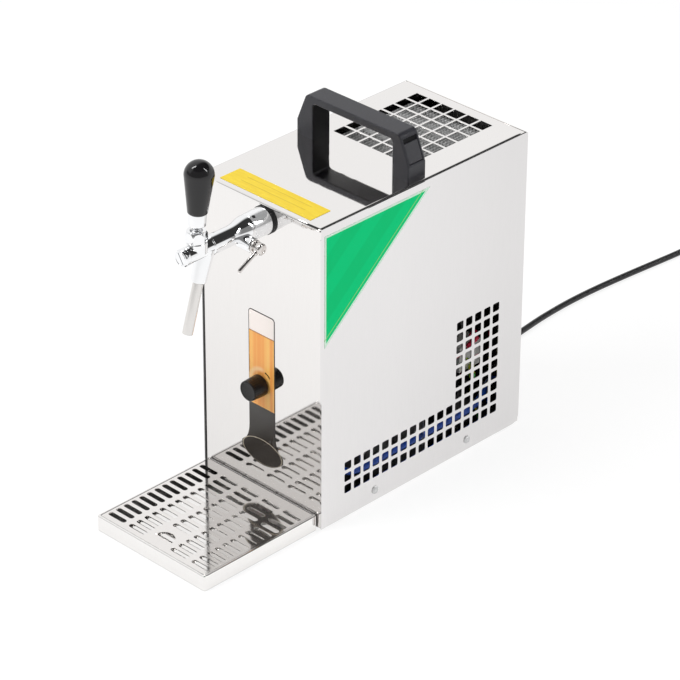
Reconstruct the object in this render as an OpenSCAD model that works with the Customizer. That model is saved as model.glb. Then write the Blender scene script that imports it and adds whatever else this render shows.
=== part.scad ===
/* [Cabinet] */
// Width of the cabinet over its side panels
cabinet_w = 175; // [173:1:185]
// Depth of the cabinet from front edge to rear panel
cabinet_d = 305; // [303:1:320]
// Height of the cabinet without its feet
cabinet_h = 353; // [352:1:370]
// Thickness of the stainless sheet
sheet = 1; // [0.8:0.1:1.2]
// Height of the rubber feet
foot_h = 3.5; // [3:0.5:8]
// Radius of the side panels' lower rear corner
side_corner_r = 10; // [4:1:20]
// Width of the dark seam between the top and the side panels
seam = 1.2; // [0.8:0.1:1.6]

/* [Vents] */
// Side of a square hole in the side panels
vent_hole = 10; // [6:0.5:11]
// Spacing of the holes in the side panels
vent_pitch = 14; // [13:0.1:14.2]
// Side of a square hole in the top grille
grille_hole = 16; // [8:0.5:16]
// Spacing of the holes in the top grille
grille_pitch = 18.5; // [17:0.1:18.6]

/* [Handle] */
// Length of the carrying handle
handle_l = 160; // [150:1:164]
// Depth of the carrying handle
handle_d = 25.5; // [24:0.5:30]
// Height of the carrying handle
handle_h = 49.5; // [46:0.5:60]

/* [Tap] */
// Distance of the tap's axis right of the middle
tap_x = 6; // [0:1:10]
// Distance of the tap's axis below the top
tap_drop = 19; // [19:0.5:22]
// Distance of the lever in front of the cabinet
lever_reach = 93; // [92:1:96]
// Lean of the lever towards the cabinet when the tap is closed
lever_lean = 4.5; // [0:0.5:5]
// Lean of the spout towards the glass
spout_lean = 17; // [15:1:19]
// Outer diameter of the spout tube
spout_d = 11; // [10:0.5:12]
// Greatest diameter of the tap's black knob
knob_d = 31; // [28:1:36]
// Length of the tap's black knob
knob_l = 56.5; // [55:0.5:70]

/* [Thermostat] */
// Height of the thermostat knob above the cabinet's lower edge
dial_z = 139; // [136:1:140]
// Diameter of the thermostat knob
dial_d = 24; // [20:1:26]

/* [Drip tray] */
// Width of the drip tray
tray_w = 162; // [160:1:170]
// Depth of the drip tray
tray_d = 161.5; // [159:0.5:168]
// Height of the drip tray
tray_h = 18.5; // [16:0.5:25]

/* [Mains lead] */
// Diameter of the mains lead
lead_d = 7; // [6:0.5:7.5]
// Turns of the coiled lead in each layer
coil_turns = 2.5; // [1.5:1:3.5]

/* [Hidden] */
$fn = 48;

// Running and seating clearances
fit_gap = 0.1;
run_gap = 0.3;

// Main planes of the cabinet, with the floor at zero and the front edge at zero
half_w = cabinet_w / 2;
low = foot_h;
top = foot_h + cabinet_h;
inner_x = half_w - sheet;
front_in = 2 * sheet;
rear_in = cabinet_d - sheet;
pan_top = low + sheet;
edge_drop = 0.5;

// The whole object is centred front to back between the tray and the beer inlet
inlet_out = 20.5;
tray_back = sheet - run_gap;
front_most = tray_back - tray_d;
shift_y = -(front_most + cabinet_d + inlet_out) / 2;

// Screws of the side panels
screw_y = [80, cabinet_d - 83];
screw_z = low + 13;
screw_r = 2;
screw_hole = screw_r + fit_gap;
flange_h = 20;

// Vent rows of the side panels and of the top grille
vent_cols = 17;
vent_rows = 3;
tall_cols = 5;
tall_rows = 10;
vent_rear = cabinet_d - 42;
vent_low = low + 34;
grille_cols = 6;
grille_rows = 7;
grille_x = -3;
grille_left = grille_x - (grille_cols - 1) / 2 * grille_pitch;
grille_rear = cabinet_d - 23;

// Handle
handle_x = -1.5;
handle_set = 25;
handle_y = grille_rear - (grille_rows - 1) * grille_pitch - handle_set;
handle_screw_x = handle_l / 2 - 12;

// Tap axis, in height
tap_z = top - tap_drop;
shank_r = 11;
ring_r = 15;
pivot_up = 18;
nut_up = 12;
seat_s = lever_reach - 29;
chamber_s = lever_reach - 17;
chamber_end = lever_reach + 9;
body_end = chamber_end + 7;
spout_s = lever_reach - 12;
socket_l = 36.5;
spout_end = 92;
comp_s = 36;
comp_drop = 7.3;
comp_out = 22.5;
ball_x = 30;
pin_l = 32.5;
pin_dip = 28;

// Compressor on its foot plate, from the rear panel forward to the divider
foot_x = half_w - 15.5;
comp_back = 77;
comp_y = cabinet_d - comp_back;
pot_r = 50;
pot_z0 = 20;
pot_z1 = 150;
bolt_x = foot_x - 18;
bolt_y = 48;
plate_edge = 10;
plate_x = bolt_x + plate_edge;
plate_y = bolt_y + plate_edge;
frame_gap = 6;
frame_y = comp_y - plate_y - 14;
wire_x = inner_x - 10.5;

// Cold block and its foam, between the front panel and the divider
shelf_z = 175;
foam = 18;
block_x0 = 44.5 - inner_x;
block_x1 = inner_x - 36.5;
block_y0 = 48;
block_y1 = frame_y - frame_gap - foam;
block_z0 = 196;
block_z1 = 300;
port_x = block_x1 - 10;
port_y = (block_y0 + block_y1) / 2;
port_z = shelf_z - 3;

// Condenser and fan
fin_back = 21;
fin_y0 = frame_y + frame_gap;
fin_y1 = cabinet_d - fin_back;
fin_z0 = top - 56;
fin_z1 = top - 9;
tube_z = top - 38;
tube_pitch = 17;
tube_y = fin_y0 + 10;
fan_x = -1;
fan_y = (fin_y0 + fin_y1) / 2;
shroud_z = fin_z0 - 38;

// Rear fittings
inlet_x = inner_x - 26.5;
inlet_z = 50;
hose_z = 43;
gland_x = -40;
gland_z = 36;
gland_tip = cabinet_d + 40;

// Mains lead: free stretch from the gland, down to the floor and away
coil_gap = 0.6;
coil_lift = 1.3;
coil_r = 46.5;
floor_z = lead_d / 2;
coil_z = floor_z + coil_lift;
lead_end_y = 790;
lead_x = -30;
lead_points = [
    [gland_x, gland_tip, gland_z],
    [gland_x, gland_tip + 20, gland_z - 0.5],
    [gland_x, gland_tip + 45, 28],
    [gland_x, gland_tip + 70, 16],
    [lead_x - 9.5, gland_tip + 93, 8],
    [lead_x - 9, gland_tip + 117, 4.6],
    [lead_x - 8.5, gland_tip + 150, floor_z + 0.2],
    [lead_x - 8.5, 550, floor_z],
    [lead_x - 7, 600, floor_z],
    [lead_x - 3, 660, floor_z],
    [lead_x, 730, floor_z],
    [lead_x, 765, coil_z],
    [lead_x, lead_end_y, coil_z]
];
coil_c = [lead_x + coil_r, lead_end_y + lead_d];
coil_pitch = lead_d + coil_gap;
layer_step = lead_d + coil_gap;
loop_rings = 24;
plug_r = 18.5;
plug_run = 50;

// Smooth curve through a list of points, and the tube that follows it
function curve_at(a, b, c, d, t) =
    0.5 * (2 * b + (c - a) * t + (2 * a - 5 * b + 4 * c - d) * t * t
        + (3 * b - a - 3 * c + d) * t * t * t);
function smooth(p, n) = concat(
    [for (i = [0 : len(p) - 2]) for (k = [0 : n - 1])
        curve_at(p[max(i - 1, 0)], p[i], p[i + 1], p[min(i + 2, len(p) - 1)], k / n)],
    [p[len(p) - 1]]);
function unit(v) = v / norm(v);
function heading(p, i) = unit(p[min(i + 1, len(p) - 1)] - p[max(i - 1, 0)]);
function ring(p, i, r, sides, up) =
    let (t = heading(p, i), a = unit(cross(t, up)), b = cross(a, t))
    [for (k = [0 : sides - 1]) p[i] + r * (cos(360 * k / sides) * a + sin(360 * k / sides) * b)];
function steps(p) = [for (i = [1 : len(p) - 1]) norm(p[i] - p[i - 1])];
function run_length(p) = steps(p) * [for (s = steps(p)) 1];

module tube(p, d, sides, up) {
    n = len(p);
    points = [for (i = [0 : n - 1]) for (q = ring(p, i, d / 2, sides, up)) q];
    walls = [for (i = [0 : n - 2]) for (k = [0 : sides - 1])
        let (a = i * sides + k, b = i * sides + (k + 1) % sides)
        each [[a, b, b + sides], [a, b + sides, a + sides]]];
    start = [for (k = [1 : sides - 2]) [0, k + 1, k]];
    last = (n - 1) * sides;
    end = [for (k = [1 : sides - 2]) [last, last + k, last + k + 1]];
    polyhedron(points = points, faces = concat(walls, start, end));
}

// Coil of the lead: one layer inwards, a climb, one layer outwards, then a run to the plug
coil_all = 2 * coil_turns + 0.5;
function coil_in(t) = min(t, coil_all - t);
function coil_climb(t) = min(max((t - coil_turns) / 0.5, 0), 1);
function coil_rise(t) = coil_z + layer_step * (1 - cos(180 * coil_climb(t))) / 2;
function coil_point(t) =
    let (r = coil_r - coil_pitch * coil_in(t), a = 180 - 360 * t)
    [coil_c[0] + r * cos(a), coil_c[1] + r * sin(a), coil_rise(t)];
coil_leave = coil_point(coil_all);
function plug_path(k) =
    let (f = k / 6, up = (1 - cos(180 * f)) / 2)
    [coil_leave[0], coil_leave[1] - plug_run * f, coil_leave[2] + (plug_r - coil_leave[2]) * up];
plug_at = plug_path(6) - [0, lead_d, 0];
coil_path = concat(
    [[lead_x, lead_end_y, coil_z], [lead_x, lead_end_y + lead_d * 0.6, coil_z]],
    [for (i = [0 : coil_all * loop_rings]) coil_point(i / loop_rings)],
    [for (k = [1 : 6]) plug_path(k)],
    [plug_at]);
lead_path = smooth(lead_points, 3);
coil_least = min([for (i = [0 : len(coil_path) - 12]) for (j = [i + 11 : len(coil_path) - 1])
    norm(coil_path[i] - coil_path[j])]) - lead_d;
echo(coil_least_gap = coil_least, lead_length = run_length(lead_path) + run_length(coil_path));

// Placing helpers
module in_place() {
    translate([0, shift_y, 0]) children();
}

module on_tap() {
    translate([tap_x, 0, tap_z]) rotate([90, 0, 0]) children();
}

module on_lever() {
    on_boss(pivot_up) rotate([-lever_lean, 0, 0]) children();
}

module on_spout() {
    translate([tap_x, -spout_s, tap_z]) rotate([180 - spout_lean, 0, 0]) children();
}

module on_compensator() {
    translate([tap_x, -comp_s, tap_z - comp_drop]) rotate([0, 90, 0]) children();
}

module back_rod(x, y, z, l, r) {
    translate([x, y, z]) rotate([-90, 0, 0]) cylinder(h = l, r = r);
}

module side_rod(x, y, z, l, r) {
    translate([x, y, z]) rotate([0, 90, 0]) cylinder(h = l, r = r);
}

module block(a, b) {
    translate(a) cube(b - a);
}

module round_rect(w, d, r) {
    square([w - 2 * r, d], center = true);
    square([w, d - 2 * r], center = true);
    for (x = [-1, 1], y = [-1, 1]) translate([x * (w / 2 - r), y * (d / 2 - r)]) circle(r);
}

// Sheet metal of the cabinet
module base_pan() color("gainsboro") in_place() difference() {
    block([-inner_x, front_in, low], [inner_x, rear_in, low + flange_h]);
    block([-inner_x + sheet, front_in + sheet, pan_top], [inner_x - sheet, rear_in - sheet, top]);
    for (y = screw_y) side_rod(-half_w, y, screw_z, cabinet_w, screw_hole);
    for (x = [-1, 1], y = foot_y) translate([x * foot_x, y, 0]) cylinder(h = top, r = foot_stem + fit_gap);
    for (x = [-1, 1], y = [-1, 1])
        translate([x * bolt_x, comp_y + y * bolt_y, 0]) cylinder(h = pan_top + 1, r = bolt_r + fit_gap);
}

module front_panel() color("whitesmoke") in_place() difference() {
    block([-inner_x, sheet, low], [inner_x, front_in, top - sheet]);
    back_rod(tap_x, 0, tap_z, front_in + 1, shank_r + fit_gap);
    back_rod(0, 0, low + dial_z, front_in + 1, bush_r + fit_gap);
}

module rear_panel() color("gainsboro") in_place() difference() {
    block([-inner_x, rear_in, low], [inner_x, cabinet_d, top - edge_drop]);
    back_rod(inlet_x, rear_in - 1, inlet_z, sheet + 2, inlet_r + fit_gap);
    back_rod(gland_x, rear_in - 1, gland_z, sheet + 2, gland_r + fit_gap);
}

// Bent lid of the cabinet, open below: a fold at the front, rear and sides
lid_r = 2.5;
lid_skirt = 12;
module lid_body(inset, skirt) {
    x = half_w - sheet - seam - inset;
    r = lid_r - inset;
    z = top - inset;
    y1 = rear_in - inset;
    difference() {
        block([-x, inset, top - skirt], [x, y1, z]);
        difference() {
            block([-x, inset - 1, z - r], [x, inset + r, z + 1]);
            side_rod(-x, inset + r, z - r, 2 * x, r);
        }
    }
}

module top_panel() color("whitesmoke") in_place() difference() {
    lid_body(0, lid_skirt);
    lid_body(sheet, lid_skirt + 1);
    block([-half_w, -1, top - lid_skirt - 1], [half_w, sheet + 0.01, top - front_lip]);
    block([-inner_x, sheet, top - lid_skirt - 1], [inner_x, front_in + fit_gap, top - sheet]);
    for (i = [0 : grille_cols - 1], j = [0 : grille_rows - 1])
        translate([grille_left + i * grille_pitch, grille_rear - j * grille_pitch, top])
            cube([grille_hole, grille_hole, 4 * sheet], center = true);
    for (x = [-1, 1]) translate([handle_x + x * handle_screw_x, handle_y, top - 5])
        cylinder(h = 6, r = handle_bolt + fit_gap);
}
front_lip = 3.2;

// Flat side with a rounded lower rear corner and a hemmed front edge, right-hand outline
module side_sheet() {
    r = side_corner_r;
    translate([inner_x, 0, 0]) rotate([90, 0, 90]) linear_extrude(sheet) {
        translate([0, low]) square([cabinet_d - r, cabinet_h - edge_drop]);
        translate([0, low + r]) square([cabinet_d, cabinet_h - edge_drop - r]);
        translate([cabinet_d - r, low + r]) circle(r);
    }
}

vent_r = 1.8;
module side_vents() {
    for (i = [0 : vent_cols - 1], j = [0 : tall_rows - 1])
        if (j < vent_rows || i < tall_cols)
            translate([half_w, vent_rear - i * vent_pitch, vent_low + j * vent_pitch]) rotate([0, 90, 0])
                linear_extrude(4 * sheet, center = true) round_rect(vent_hole, vent_hole, vent_r);
}

module side_panel() {
    difference() {
        union() {
            side_sheet();
            block([inner_x - sheet, 0, low], [inner_x + sheet / 2, sheet, top - lid_skirt]);
        }
        side_vents();
        for (y = screw_y) side_rod(inner_x - 1, y, screw_z, sheet + 2, screw_hole);
    }
}

module right_side_panel() color("whitesmoke") in_place() side_panel();

module left_side_panel() color("whitesmoke") in_place() mirror([1, 0, 0]) side_panel();

module side_screws() color("silver") in_place() {
    for (side = [0, 1], y = screw_y) mirror([side, 0, 0]) {
        side_rod(inner_x - sheet - 3, y, screw_z, sheet * 2 + 3, screw_r);
        side_rod(half_w, y, screw_z, 0.8, 4.5);
        translate([half_w + 0.8, y, screw_z]) rotate([0, 90, 0]) cylinder(h = 1.4, r1 = 4.5, r2 = 2.4);
    }
}

foot_y = [28, cabinet_d - 20];
foot_r = 11;
foot_stem = 3.5;
module feet() color("dimgray") in_place() {
    for (x = [-1, 1], y = foot_y) translate([x * foot_x, y, 0]) {
        cylinder(h = foot_h, r = foot_r);
        cylinder(h = foot_h + sheet, r = foot_stem);
        translate([0, 0, foot_h + sheet]) cylinder(h = 3, r1 = foot_stem + 1, r2 = foot_stem - 1);
    }
}

// Divider and shelf that carry the foam box
frame_t = 1.2;
frame_x = inner_x - 2.5;
wire_z = 112;
sensor_x = -20;
sensor_y = block_y0 + 12;
module inner_frame() color("silver") in_place() difference() {
    union() {
        block([-frame_x, frame_y, pan_top], [frame_x, frame_y + frame_t, shelf_z + frame_t]);
        block([-frame_x, front_in, shelf_z], [frame_x, frame_y + frame_t, shelf_z + frame_t]);
        block([-frame_x, front_in, shelf_z - 12], [frame_x, front_in + frame_t, shelf_z]);
        block([-frame_x, frame_y - 12, pan_top], [frame_x, frame_y, pan_top + frame_t]);
    }
    back_rod(wire_x, frame_y - 1, hose_z, 4, 5.5);
    back_rod(wire_x, frame_y - 1, wire_z, 4, 3.5);
    translate([port_x, port_y, shelf_z - 1]) cylinder(h = 4, r = 6);
    translate([sensor_x, sensor_y, shelf_z - 1]) cylinder(h = 4, r = 3);
}

// Carrying handle: a bridge with leaning ends, closed by two caps over its fixings
handle_foot = 23.5;
handle_lean = 13.5;
handle_side = 16.5;
grip_t = 8.5;
grip_r = 4;
handle_bolt = 2.5;
handle_edge = 3;
module bar_y(x, z, r) {
    translate([x, -handle_d / 2, z]) rotate([-90, 0, 0]) cylinder(h = handle_d, r = r, $fn = 32);
}

module handle_outline() {
    e = handle_edge;
    hull() for (s = [-1, 1]) {
        translate([s * (handle_l / 2 - e / 2), 0, e / 2]) cube([e, handle_d, e], center = true);
        bar_y(s * (handle_l / 2 - e), handle_side, e);
        bar_y(s * (handle_l / 2 - handle_lean - e), handle_h - e, e);
    }
}

module handle_opening() {
    w = handle_l / 2 - handle_foot;
    h = handle_h - grip_t;
    r = grip_r;
    hull() for (s = [-1, 1]) {
        translate([s * (w - 1), 0, -1]) cube([2, handle_d + 2, 2], center = true);
        translate([s * (w - r), -handle_d / 2 - 1, h - r]) rotate([-90, 0, 0])
            cylinder(h = handle_d + 2, r = r, $fn = 32);
    }
}

// Cap on a leaning end: a thin plate that lies in a pocket of its own size
cap_l = 29;
cap_w = 20;
cap_t = 1.5;
module cap_plate(grow) {
    slope = atan2(handle_h - handle_side, handle_lean);
    for (s = [0, 1]) mirror([s, 0, 0])
        translate([handle_l / 2 - handle_lean / 2 - 0.6, 0, (handle_h + handle_side) / 2 - 0.9])
            rotate([0, slope, 0])
                cube([cap_l + 2 * grow, cap_w + 2 * grow, 2 * cap_t + 2 * grow], center = true);
}

module on_top() {
    translate([handle_x, handle_y, top]) children();
}

module carry_handle() color([0.16, 0.16, 0.17]) in_place() on_top() difference() {
    handle_outline();
    handle_opening();
    cap_plate(fit_gap);
    for (x = [-1, 1]) translate([x * handle_screw_x, 0, -1]) cylinder(h = 13, r = handle_bolt + fit_gap);
}

module handle_caps() color([0.2, 0.2, 0.21]) in_place() on_top() intersection() {
    handle_outline();
    cap_plate(0);
}

module handle_screws() color("silver") in_place() on_top() {
    for (x = [-1, 1]) translate([x * handle_screw_x, 0, 0]) {
        translate([0, 0, -sheet - 3]) cylinder(h = 3, r = 4.5);
        translate([0, 0, -sheet - 1]) cylinder(h = sheet + 11, r = handle_bolt);
    }
}

// Thin plates glued to the outside
label_t = 0.3;
plate_w = 38;
plate_top = low + 223;
plate_low = low + 56.5;
plate_mid = (plate_top + plate_low) / 2;
oval_w = 30.3;
oval_h = 16;
oval_r = 42;
oval_flare = 26;
module plate_oval() {
    intersection() {
        translate([0, oval_r - oval_h]) circle(oval_r);
        translate([0, oval_h - oval_r]) circle(oval_r);
        circle(oval_w);
    }
}

// Foot of the plate: its sides swing out into an oval
module plate_flare() {
    w = plate_w / 2;
    out = oval_w - w - 1.5;
    right = [for (k = [0 : 4]) [w + out * pow(k / 4, 2.2), oval_flare * (1 - k / 4) + 1]];
    left = [for (k = [4 : -1 : 0]) [-right[k][0], right[k][1]]];
    polygon(concat(right, left));
}

module dial_plate() color("orange") in_place()
    translate([0, sheet, plate_mid]) rotate([90, 0, 0]) linear_extrude(label_t) difference() {
        union() {
            round_rect(plate_w, plate_top - plate_low, 4);
            translate([0, plate_low - plate_mid]) plate_oval();
            translate([0, plate_low - plate_mid]) plate_flare();
        }
        translate([0, low + dial_z - plate_mid]) circle(bush_r + fit_gap);
    }

corner_y = 4;
corner_z = 9;
corner_l = 152;
corner_h = 128;
module side_label() color("seagreen") in_place()
    translate([half_w, 0, 0]) rotate([90, 0, 90]) linear_extrude(label_t)
        translate([corner_y, top - corner_z]) polygon([[0, 0], [corner_l, 0], [0, -corner_h]]);

strip_y = 21;
strip_d = 29;
strip_w = cabinet_w - 45;
module top_label() color("gold") in_place()
    translate([0, strip_y, top]) linear_extrude(label_t) round_rect(strip_w, strip_d, 1);

// Beer tap, built along its own axis: right, up and forward of the cabinet
gasket_r = 15.6;
module shank_gasket() color([0.1, 0.1, 0.1]) in_place() on_tap() difference() {
    translate([0, 0, -sheet]) cylinder(h = sheet + 2, r = gasket_r);
    translate([0, 0, -sheet - 1]) cylinder(h = sheet + 4, r = shank_r + fit_gap);
}

shank_in = 45;
shank_out = 7;
bore_r = 4.5;
module tap_shank() color("silver") in_place() on_tap() difference() {
    translate([0, 0, -shank_in]) cylinder(h = shank_in + shank_out, r = shank_r);
    translate([0, 0, -shank_in - 1]) cylinder(h = shank_in + shank_out + 2, r = bore_r);
}

module shank_nut() color("silver") in_place() on_tap() difference() {
    translate([0, 0, -front_in - 8]) cylinder(h = 8, r = 16, $fn = 6);
    translate([0, 0, -front_in - 9]) cylinder(h = 10, r = shank_r + fit_gap);
}

ring_l = 23;
ring_turn = 67;
ring_screw_s = 20;
module on_ring_screw() {
    translate([0, 0, ring_screw_s]) rotate([0, 0, ring_turn]) rotate([0, 90, 0]) children();
}

module coupling_ring() color("silver") in_place() on_tap() difference() {
    translate([0, 0, 2]) cylinder(h = ring_l, r = ring_r);
    translate([0, 0, 1]) cylinder(h = shank_out - 1 + fit_gap, r = shank_r + fit_gap);
    translate([0, 0, 1]) cylinder(h = ring_l + 2, r = tail_r + fit_gap);
    on_ring_screw() cylinder(h = 20, r = 2 + fit_gap);
}

module coupling_screw() color([0.15, 0.15, 0.15]) in_place() on_tap() on_ring_screw()
    translate([0, 0, tail_r + 2 * fit_gap]) cylinder(h = ring_r - tail_r - 1, r = 2);

// Tap body: tail inside the ring, flared neck, valve barrel, lever boss, spout socket and side boss
tail_r = 10;
neck_r = 10.5;
flare_s = 2 + ring_l;
bell = [[0, 14.6], [4, 14.3], [8, 13.5], [12, 12.4], [16, 11.4], [20, 10.8], [25, neck_r]];
boss_r = 11;
barrel_r = 9.5;
module tap_body() color("silver") in_place() difference() {
    union() {
        on_tap() {
            translate([0, 0, shank_out + 0.2]) cylinder(h = ring_l, r = tail_r);
            for (k = [1 : len(bell) - 1]) translate([0, 0, flare_s + bell[k - 1][0]])
                cylinder(h = bell[k][0] - bell[k - 1][0], r1 = bell[k - 1][1], r2 = bell[k][1]);
            translate([0, 0, flare_s]) cylinder(h = chamber_s - flare_s, r = neck_r);
            translate([0, 0, chamber_s]) cylinder(h = body_end - chamber_s, r = barrel_r);
        }
        on_boss(0) cylinder(h = nut_up, r = boss_r);
        on_spout() cylinder(h = socket_l, r1 = 10.2, r2 = 8.2);
        on_compensator() cylinder(h = comp_out, r = 8);
    }
    on_tap() {
        cylinder(h = chamber_s, r = bore_r);
        translate([0, 0, seat_s - 16]) cylinder(h = 16, r = chamber_r);
        translate([0, 0, chamber_s]) cylinder(h = chamber_end - chamber_s, r = chamber_r);
        translate([0, 0, chamber_end - 1]) cylinder(h = 20, r = plug_r_in);
    }
    on_boss(0) cylinder(h = nut_up + 1, r = 7.5);
    on_spout() cylinder(h = socket_l + 1, r = spout_bore);
    on_spout() translate([0, 0, socket_l - spout_in])
        cylinder(h = spout_in + 1, r = spout_tail + fit_gap / 2);
    on_compensator() cylinder(h = comp_out + 1, r = 4 + run_gap);
}
chamber_r = 6.8;
plug_r_in = 7.2;
slot_turn = 32;
spout_bore = 4;

module tap_end_plug() color("silver") in_place() on_tap() difference() {
    union() {
        translate([0, 0, chamber_end]) cylinder(h = body_end - chamber_end, r = plug_r_in - fit_gap);
        translate([0, 0, body_end]) cylinder(h = 6, r = barrel_r);
    }
    translate([0, 0, body_end + 5.5]) rotate([0, 0, slot_turn]) cube([1.6, 40, 2], center = true);
}

// Nut over the lever's ball, with a cone for the lever's swing
nut_h = 12;
ball_r = 6.5;
module on_boss(up) {
    translate([tap_x, -lever_reach, tap_z + up]) children();
}

module lever_nut() color("silver") in_place() on_boss(nut_up) difference() {
    intersection() {
        cylinder(h = nut_h, r = 11.6, $fn = 6);
        cylinder(h = nut_h, r1 = 15, r2 = 9.8);
    }
    translate([0, 0, pivot_up - nut_up]) sphere(ball_r + run_gap);
    translate([0, 0, -1]) cylinder(h = pivot_up - nut_up + 1, r = ball_r + run_gap);
    translate([0, 0, pivot_up - nut_up]) cylinder(h = 10, r1 = 3.8, r2 = 8.6);
}

stem_r = 3;
finger_r = 2.5;
finger_l = 14.5;
ferrule_up = 9.2;
ferrule_top = 24.4;
module tap_lever() color("silver") in_place() on_lever() {
    sphere(ball_r);
    cylinder(h = ferrule_top + 30, r = stem_r);
    translate([0, 0, -finger_l]) cylinder(h = finger_l, r = finger_r);
}

module lever_ferrule() color("silver") in_place() on_lever() difference() {
    union() {
        translate([0, 0, ferrule_up]) cylinder(h = 2.5, r1 = 5.5, r2 = 9.2);
        translate([0, 0, ferrule_up + 2.5]) cylinder(h = ferrule_top - ferrule_up - 2.5, r = 9.2);
    }
    cylinder(h = 60, r = stem_r + fit_gap / 2);
}

// Black knob: a slim cone that swells upwards into a round dome
knob_low_r = 10.2;
module lever_knob() color([0.12, 0.12, 0.13]) in_place() on_lever() difference() {
    union() {
        translate([0, 0, ferrule_top]) cylinder(h = knob_l - knob_d / 2, r1 = knob_low_r, r2 = knob_d / 2);
        translate([0, 0, ferrule_top + knob_l - knob_d / 2]) intersection() {
            sphere(knob_d / 2);
            cylinder(h = knob_d, r = knob_d);
        }
    }
    translate([0, 0, ferrule_top - 1]) cylinder(h = 32, r = stem_r + fit_gap / 2);
}

// Plunger pushed back by the lever's finger between two collars
plunger_r = 2.5;
collar_r = 5.6;
collar_t = 1.5;
finger_gap = 3.4;
finger_s = lever_reach + finger_l * sin(lever_lean);
module valve_plunger() color("silver") in_place() on_tap() {
    translate([0, 0, seat_s - 6]) cylinder(h = finger_s + 6 - seat_s + 4, r = plunger_r);
    for (s = [-1, 1]) translate([0, 0, finger_s + s * (finger_gap + collar_t / 2) - collar_t / 2])
        cylinder(h = collar_t, r = collar_r);
}

module plunger_seal() color([0.2, 0.2, 0.2]) in_place() on_tap() difference() {
    translate([0, 0, seat_s - 4.3]) cylinder(h = 4, r1 = 6, r2 = 5);
    translate([0, 0, seat_s - 5]) cylinder(h = 6, r = plunger_r + fit_gap / 2);
}

// Spout tube, with a slightly thinner tail that sits in the socket
spout_in = 14;
spout_tail = spout_d / 2 - 0.2;
spout_step = 1;
module spout() color("gainsboro") in_place() on_spout() difference() {
    union() {
        translate([0, 0, socket_l - spout_in]) cylinder(h = spout_in + spout_step, r = spout_tail);
        translate([0, 0, socket_l + spout_step])
            cylinder(h = spout_end - socket_l - spout_step, r = spout_d / 2);
    }
    translate([0, 0, socket_l - spout_in - 1]) cylinder(h = spout_end, r = spout_d / 2 - 1);
}

// Flow compensator: a side lever that turns a spindle, and the cone that it moves
module compensator_lever() color("silver") in_place() on_compensator() {
    translate([0, 0, 6]) cylinder(h = ball_x - 6, r = 4);
    translate([0, 0, comp_out + run_gap]) cylinder(h = 3, r = 7);
    translate([0, 0, ball_x]) sphere(6);
    translate([0, 0, ball_x]) rotate([0, 0, pin_dip - 90]) rotate([0, 90, 0]) cylinder(h = pin_l, r = 1.8);
}

module compensator_cone() color("white") in_place() on_tap() {
    translate([0, 0, 16]) cylinder(h = 16, r1 = 2, r2 = 4);
}

// Thermostat behind the front panel, its shaft coming out through the panel
bush_r = 5;
shaft_r = 3;
module thermostat() color("whitesmoke") in_place() {
    difference() {
        union() {
            block([-26, front_in, low + dial_z - 17], [26, front_in + 28, low + dial_z + 17]);
            back_rod(0, -6, low + dial_z, 6 + front_in, bush_r);
        }
        back_rod(0, -7, low + dial_z, 7 + front_in + 10, shaft_r + run_gap);
    }
    tube(smooth(sensor_points, 2), 2, 8, [1, 0, 0]);
}

dial_face = -20;
dial_back = -1.5;
module thermostat_knob() color([0.12, 0.12, 0.13]) in_place() {
    difference() {
        translate([0, dial_back, low + dial_z]) rotate([90, 0, 0])
            cylinder(h = dial_back - dial_face, r1 = dial_d / 2, r2 = dial_d / 2 - 0.8);
        back_rod(0, -6.5, low + dial_z, 8, bush_r + run_gap);
    }
    back_rod(0, -7, low + dial_z, 7 + front_in + 8, shaft_r);
}

sensor_points = [
    [sensor_x, front_in + 20, low + dial_z + 17],
    [sensor_x, front_in + 20, low + dial_z + 21],
    [sensor_x, front_in + 28, 169],
    [sensor_x, sensor_y - 12, 170],
    [sensor_x, sensor_y - 2, 171],
    [sensor_x, sensor_y, 178],
    [sensor_x, sensor_y, 185],
    [sensor_x, sensor_y, block_z0]
];

// Drip tray with a turned-in rim, and the slotted grate that stands in it
tray_t = 1;
rim_w = 2.6;
grate_t = 1;
slot_l = 25;
slot_w = 6;
slot_x = 31.4;
slot_y = 10.83;
slot_y0 = -67.9;
slot_cols = 5;
slot_rows = 13;
module tray_place() {
    translate([0, tray_back - tray_d / 2, 0]) children();
}

module drip_tray() color("whitesmoke") in_place() tray_place() difference() {
    linear_extrude(tray_h) round_rect(tray_w, tray_d, 3);
    translate([0, 0, tray_t]) linear_extrude(tray_h - 2 * tray_t)
        round_rect(tray_w - 2 * tray_t, tray_d - 2 * tray_t, 2);
    translate([0, 0, tray_t]) linear_extrude(tray_h) round_rect(tray_w - 2 * rim_w, tray_d - 2 * rim_w, 2);
}

module grate_slot() {
    square([slot_l - slot_w, slot_w], center = true);
    for (x = [-1, 1]) translate([x * (slot_l - slot_w) / 2, 0]) circle(slot_w / 2);
}

module grate_slots() {
    middle = (slot_cols - 1) / 2;
    for (i = [0 : slot_cols - 1], j = [0 : slot_rows - 1])
        if (i != middle || j > 2) translate([(i - middle) * slot_x, slot_y0 + j * slot_y]) grate_slot();
    translate([0, finger_y]) difference() {
        circle(finger_hole);
        translate([-finger_hole, -2 * finger_hole]) square(2 * finger_hole);
    }
}

finger_hole = 12;
finger_y = -61.2;
grate_w = tray_w - 2 * rim_w - 1;
grate_d = tray_d - 2 * rim_w - 1;
grate_top = tray_h - run_gap;
rail_in = 6;
module drip_grate() color("whitesmoke") in_place() tray_place() {
    translate([0, 0, grate_top - grate_t]) linear_extrude(grate_t) difference() {
        round_rect(grate_w, grate_d, 1.5);
        grate_slots();
    }
    for (s = [0, 1]) mirror([s, 0, 0]) translate([grate_w / 2 - grate_t, -grate_d / 2 + rail_in, tray_t])
        cube([grate_t, grate_d - 2 * rail_in, grate_top - grate_t - tray_t - fit_gap]);
}

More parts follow.
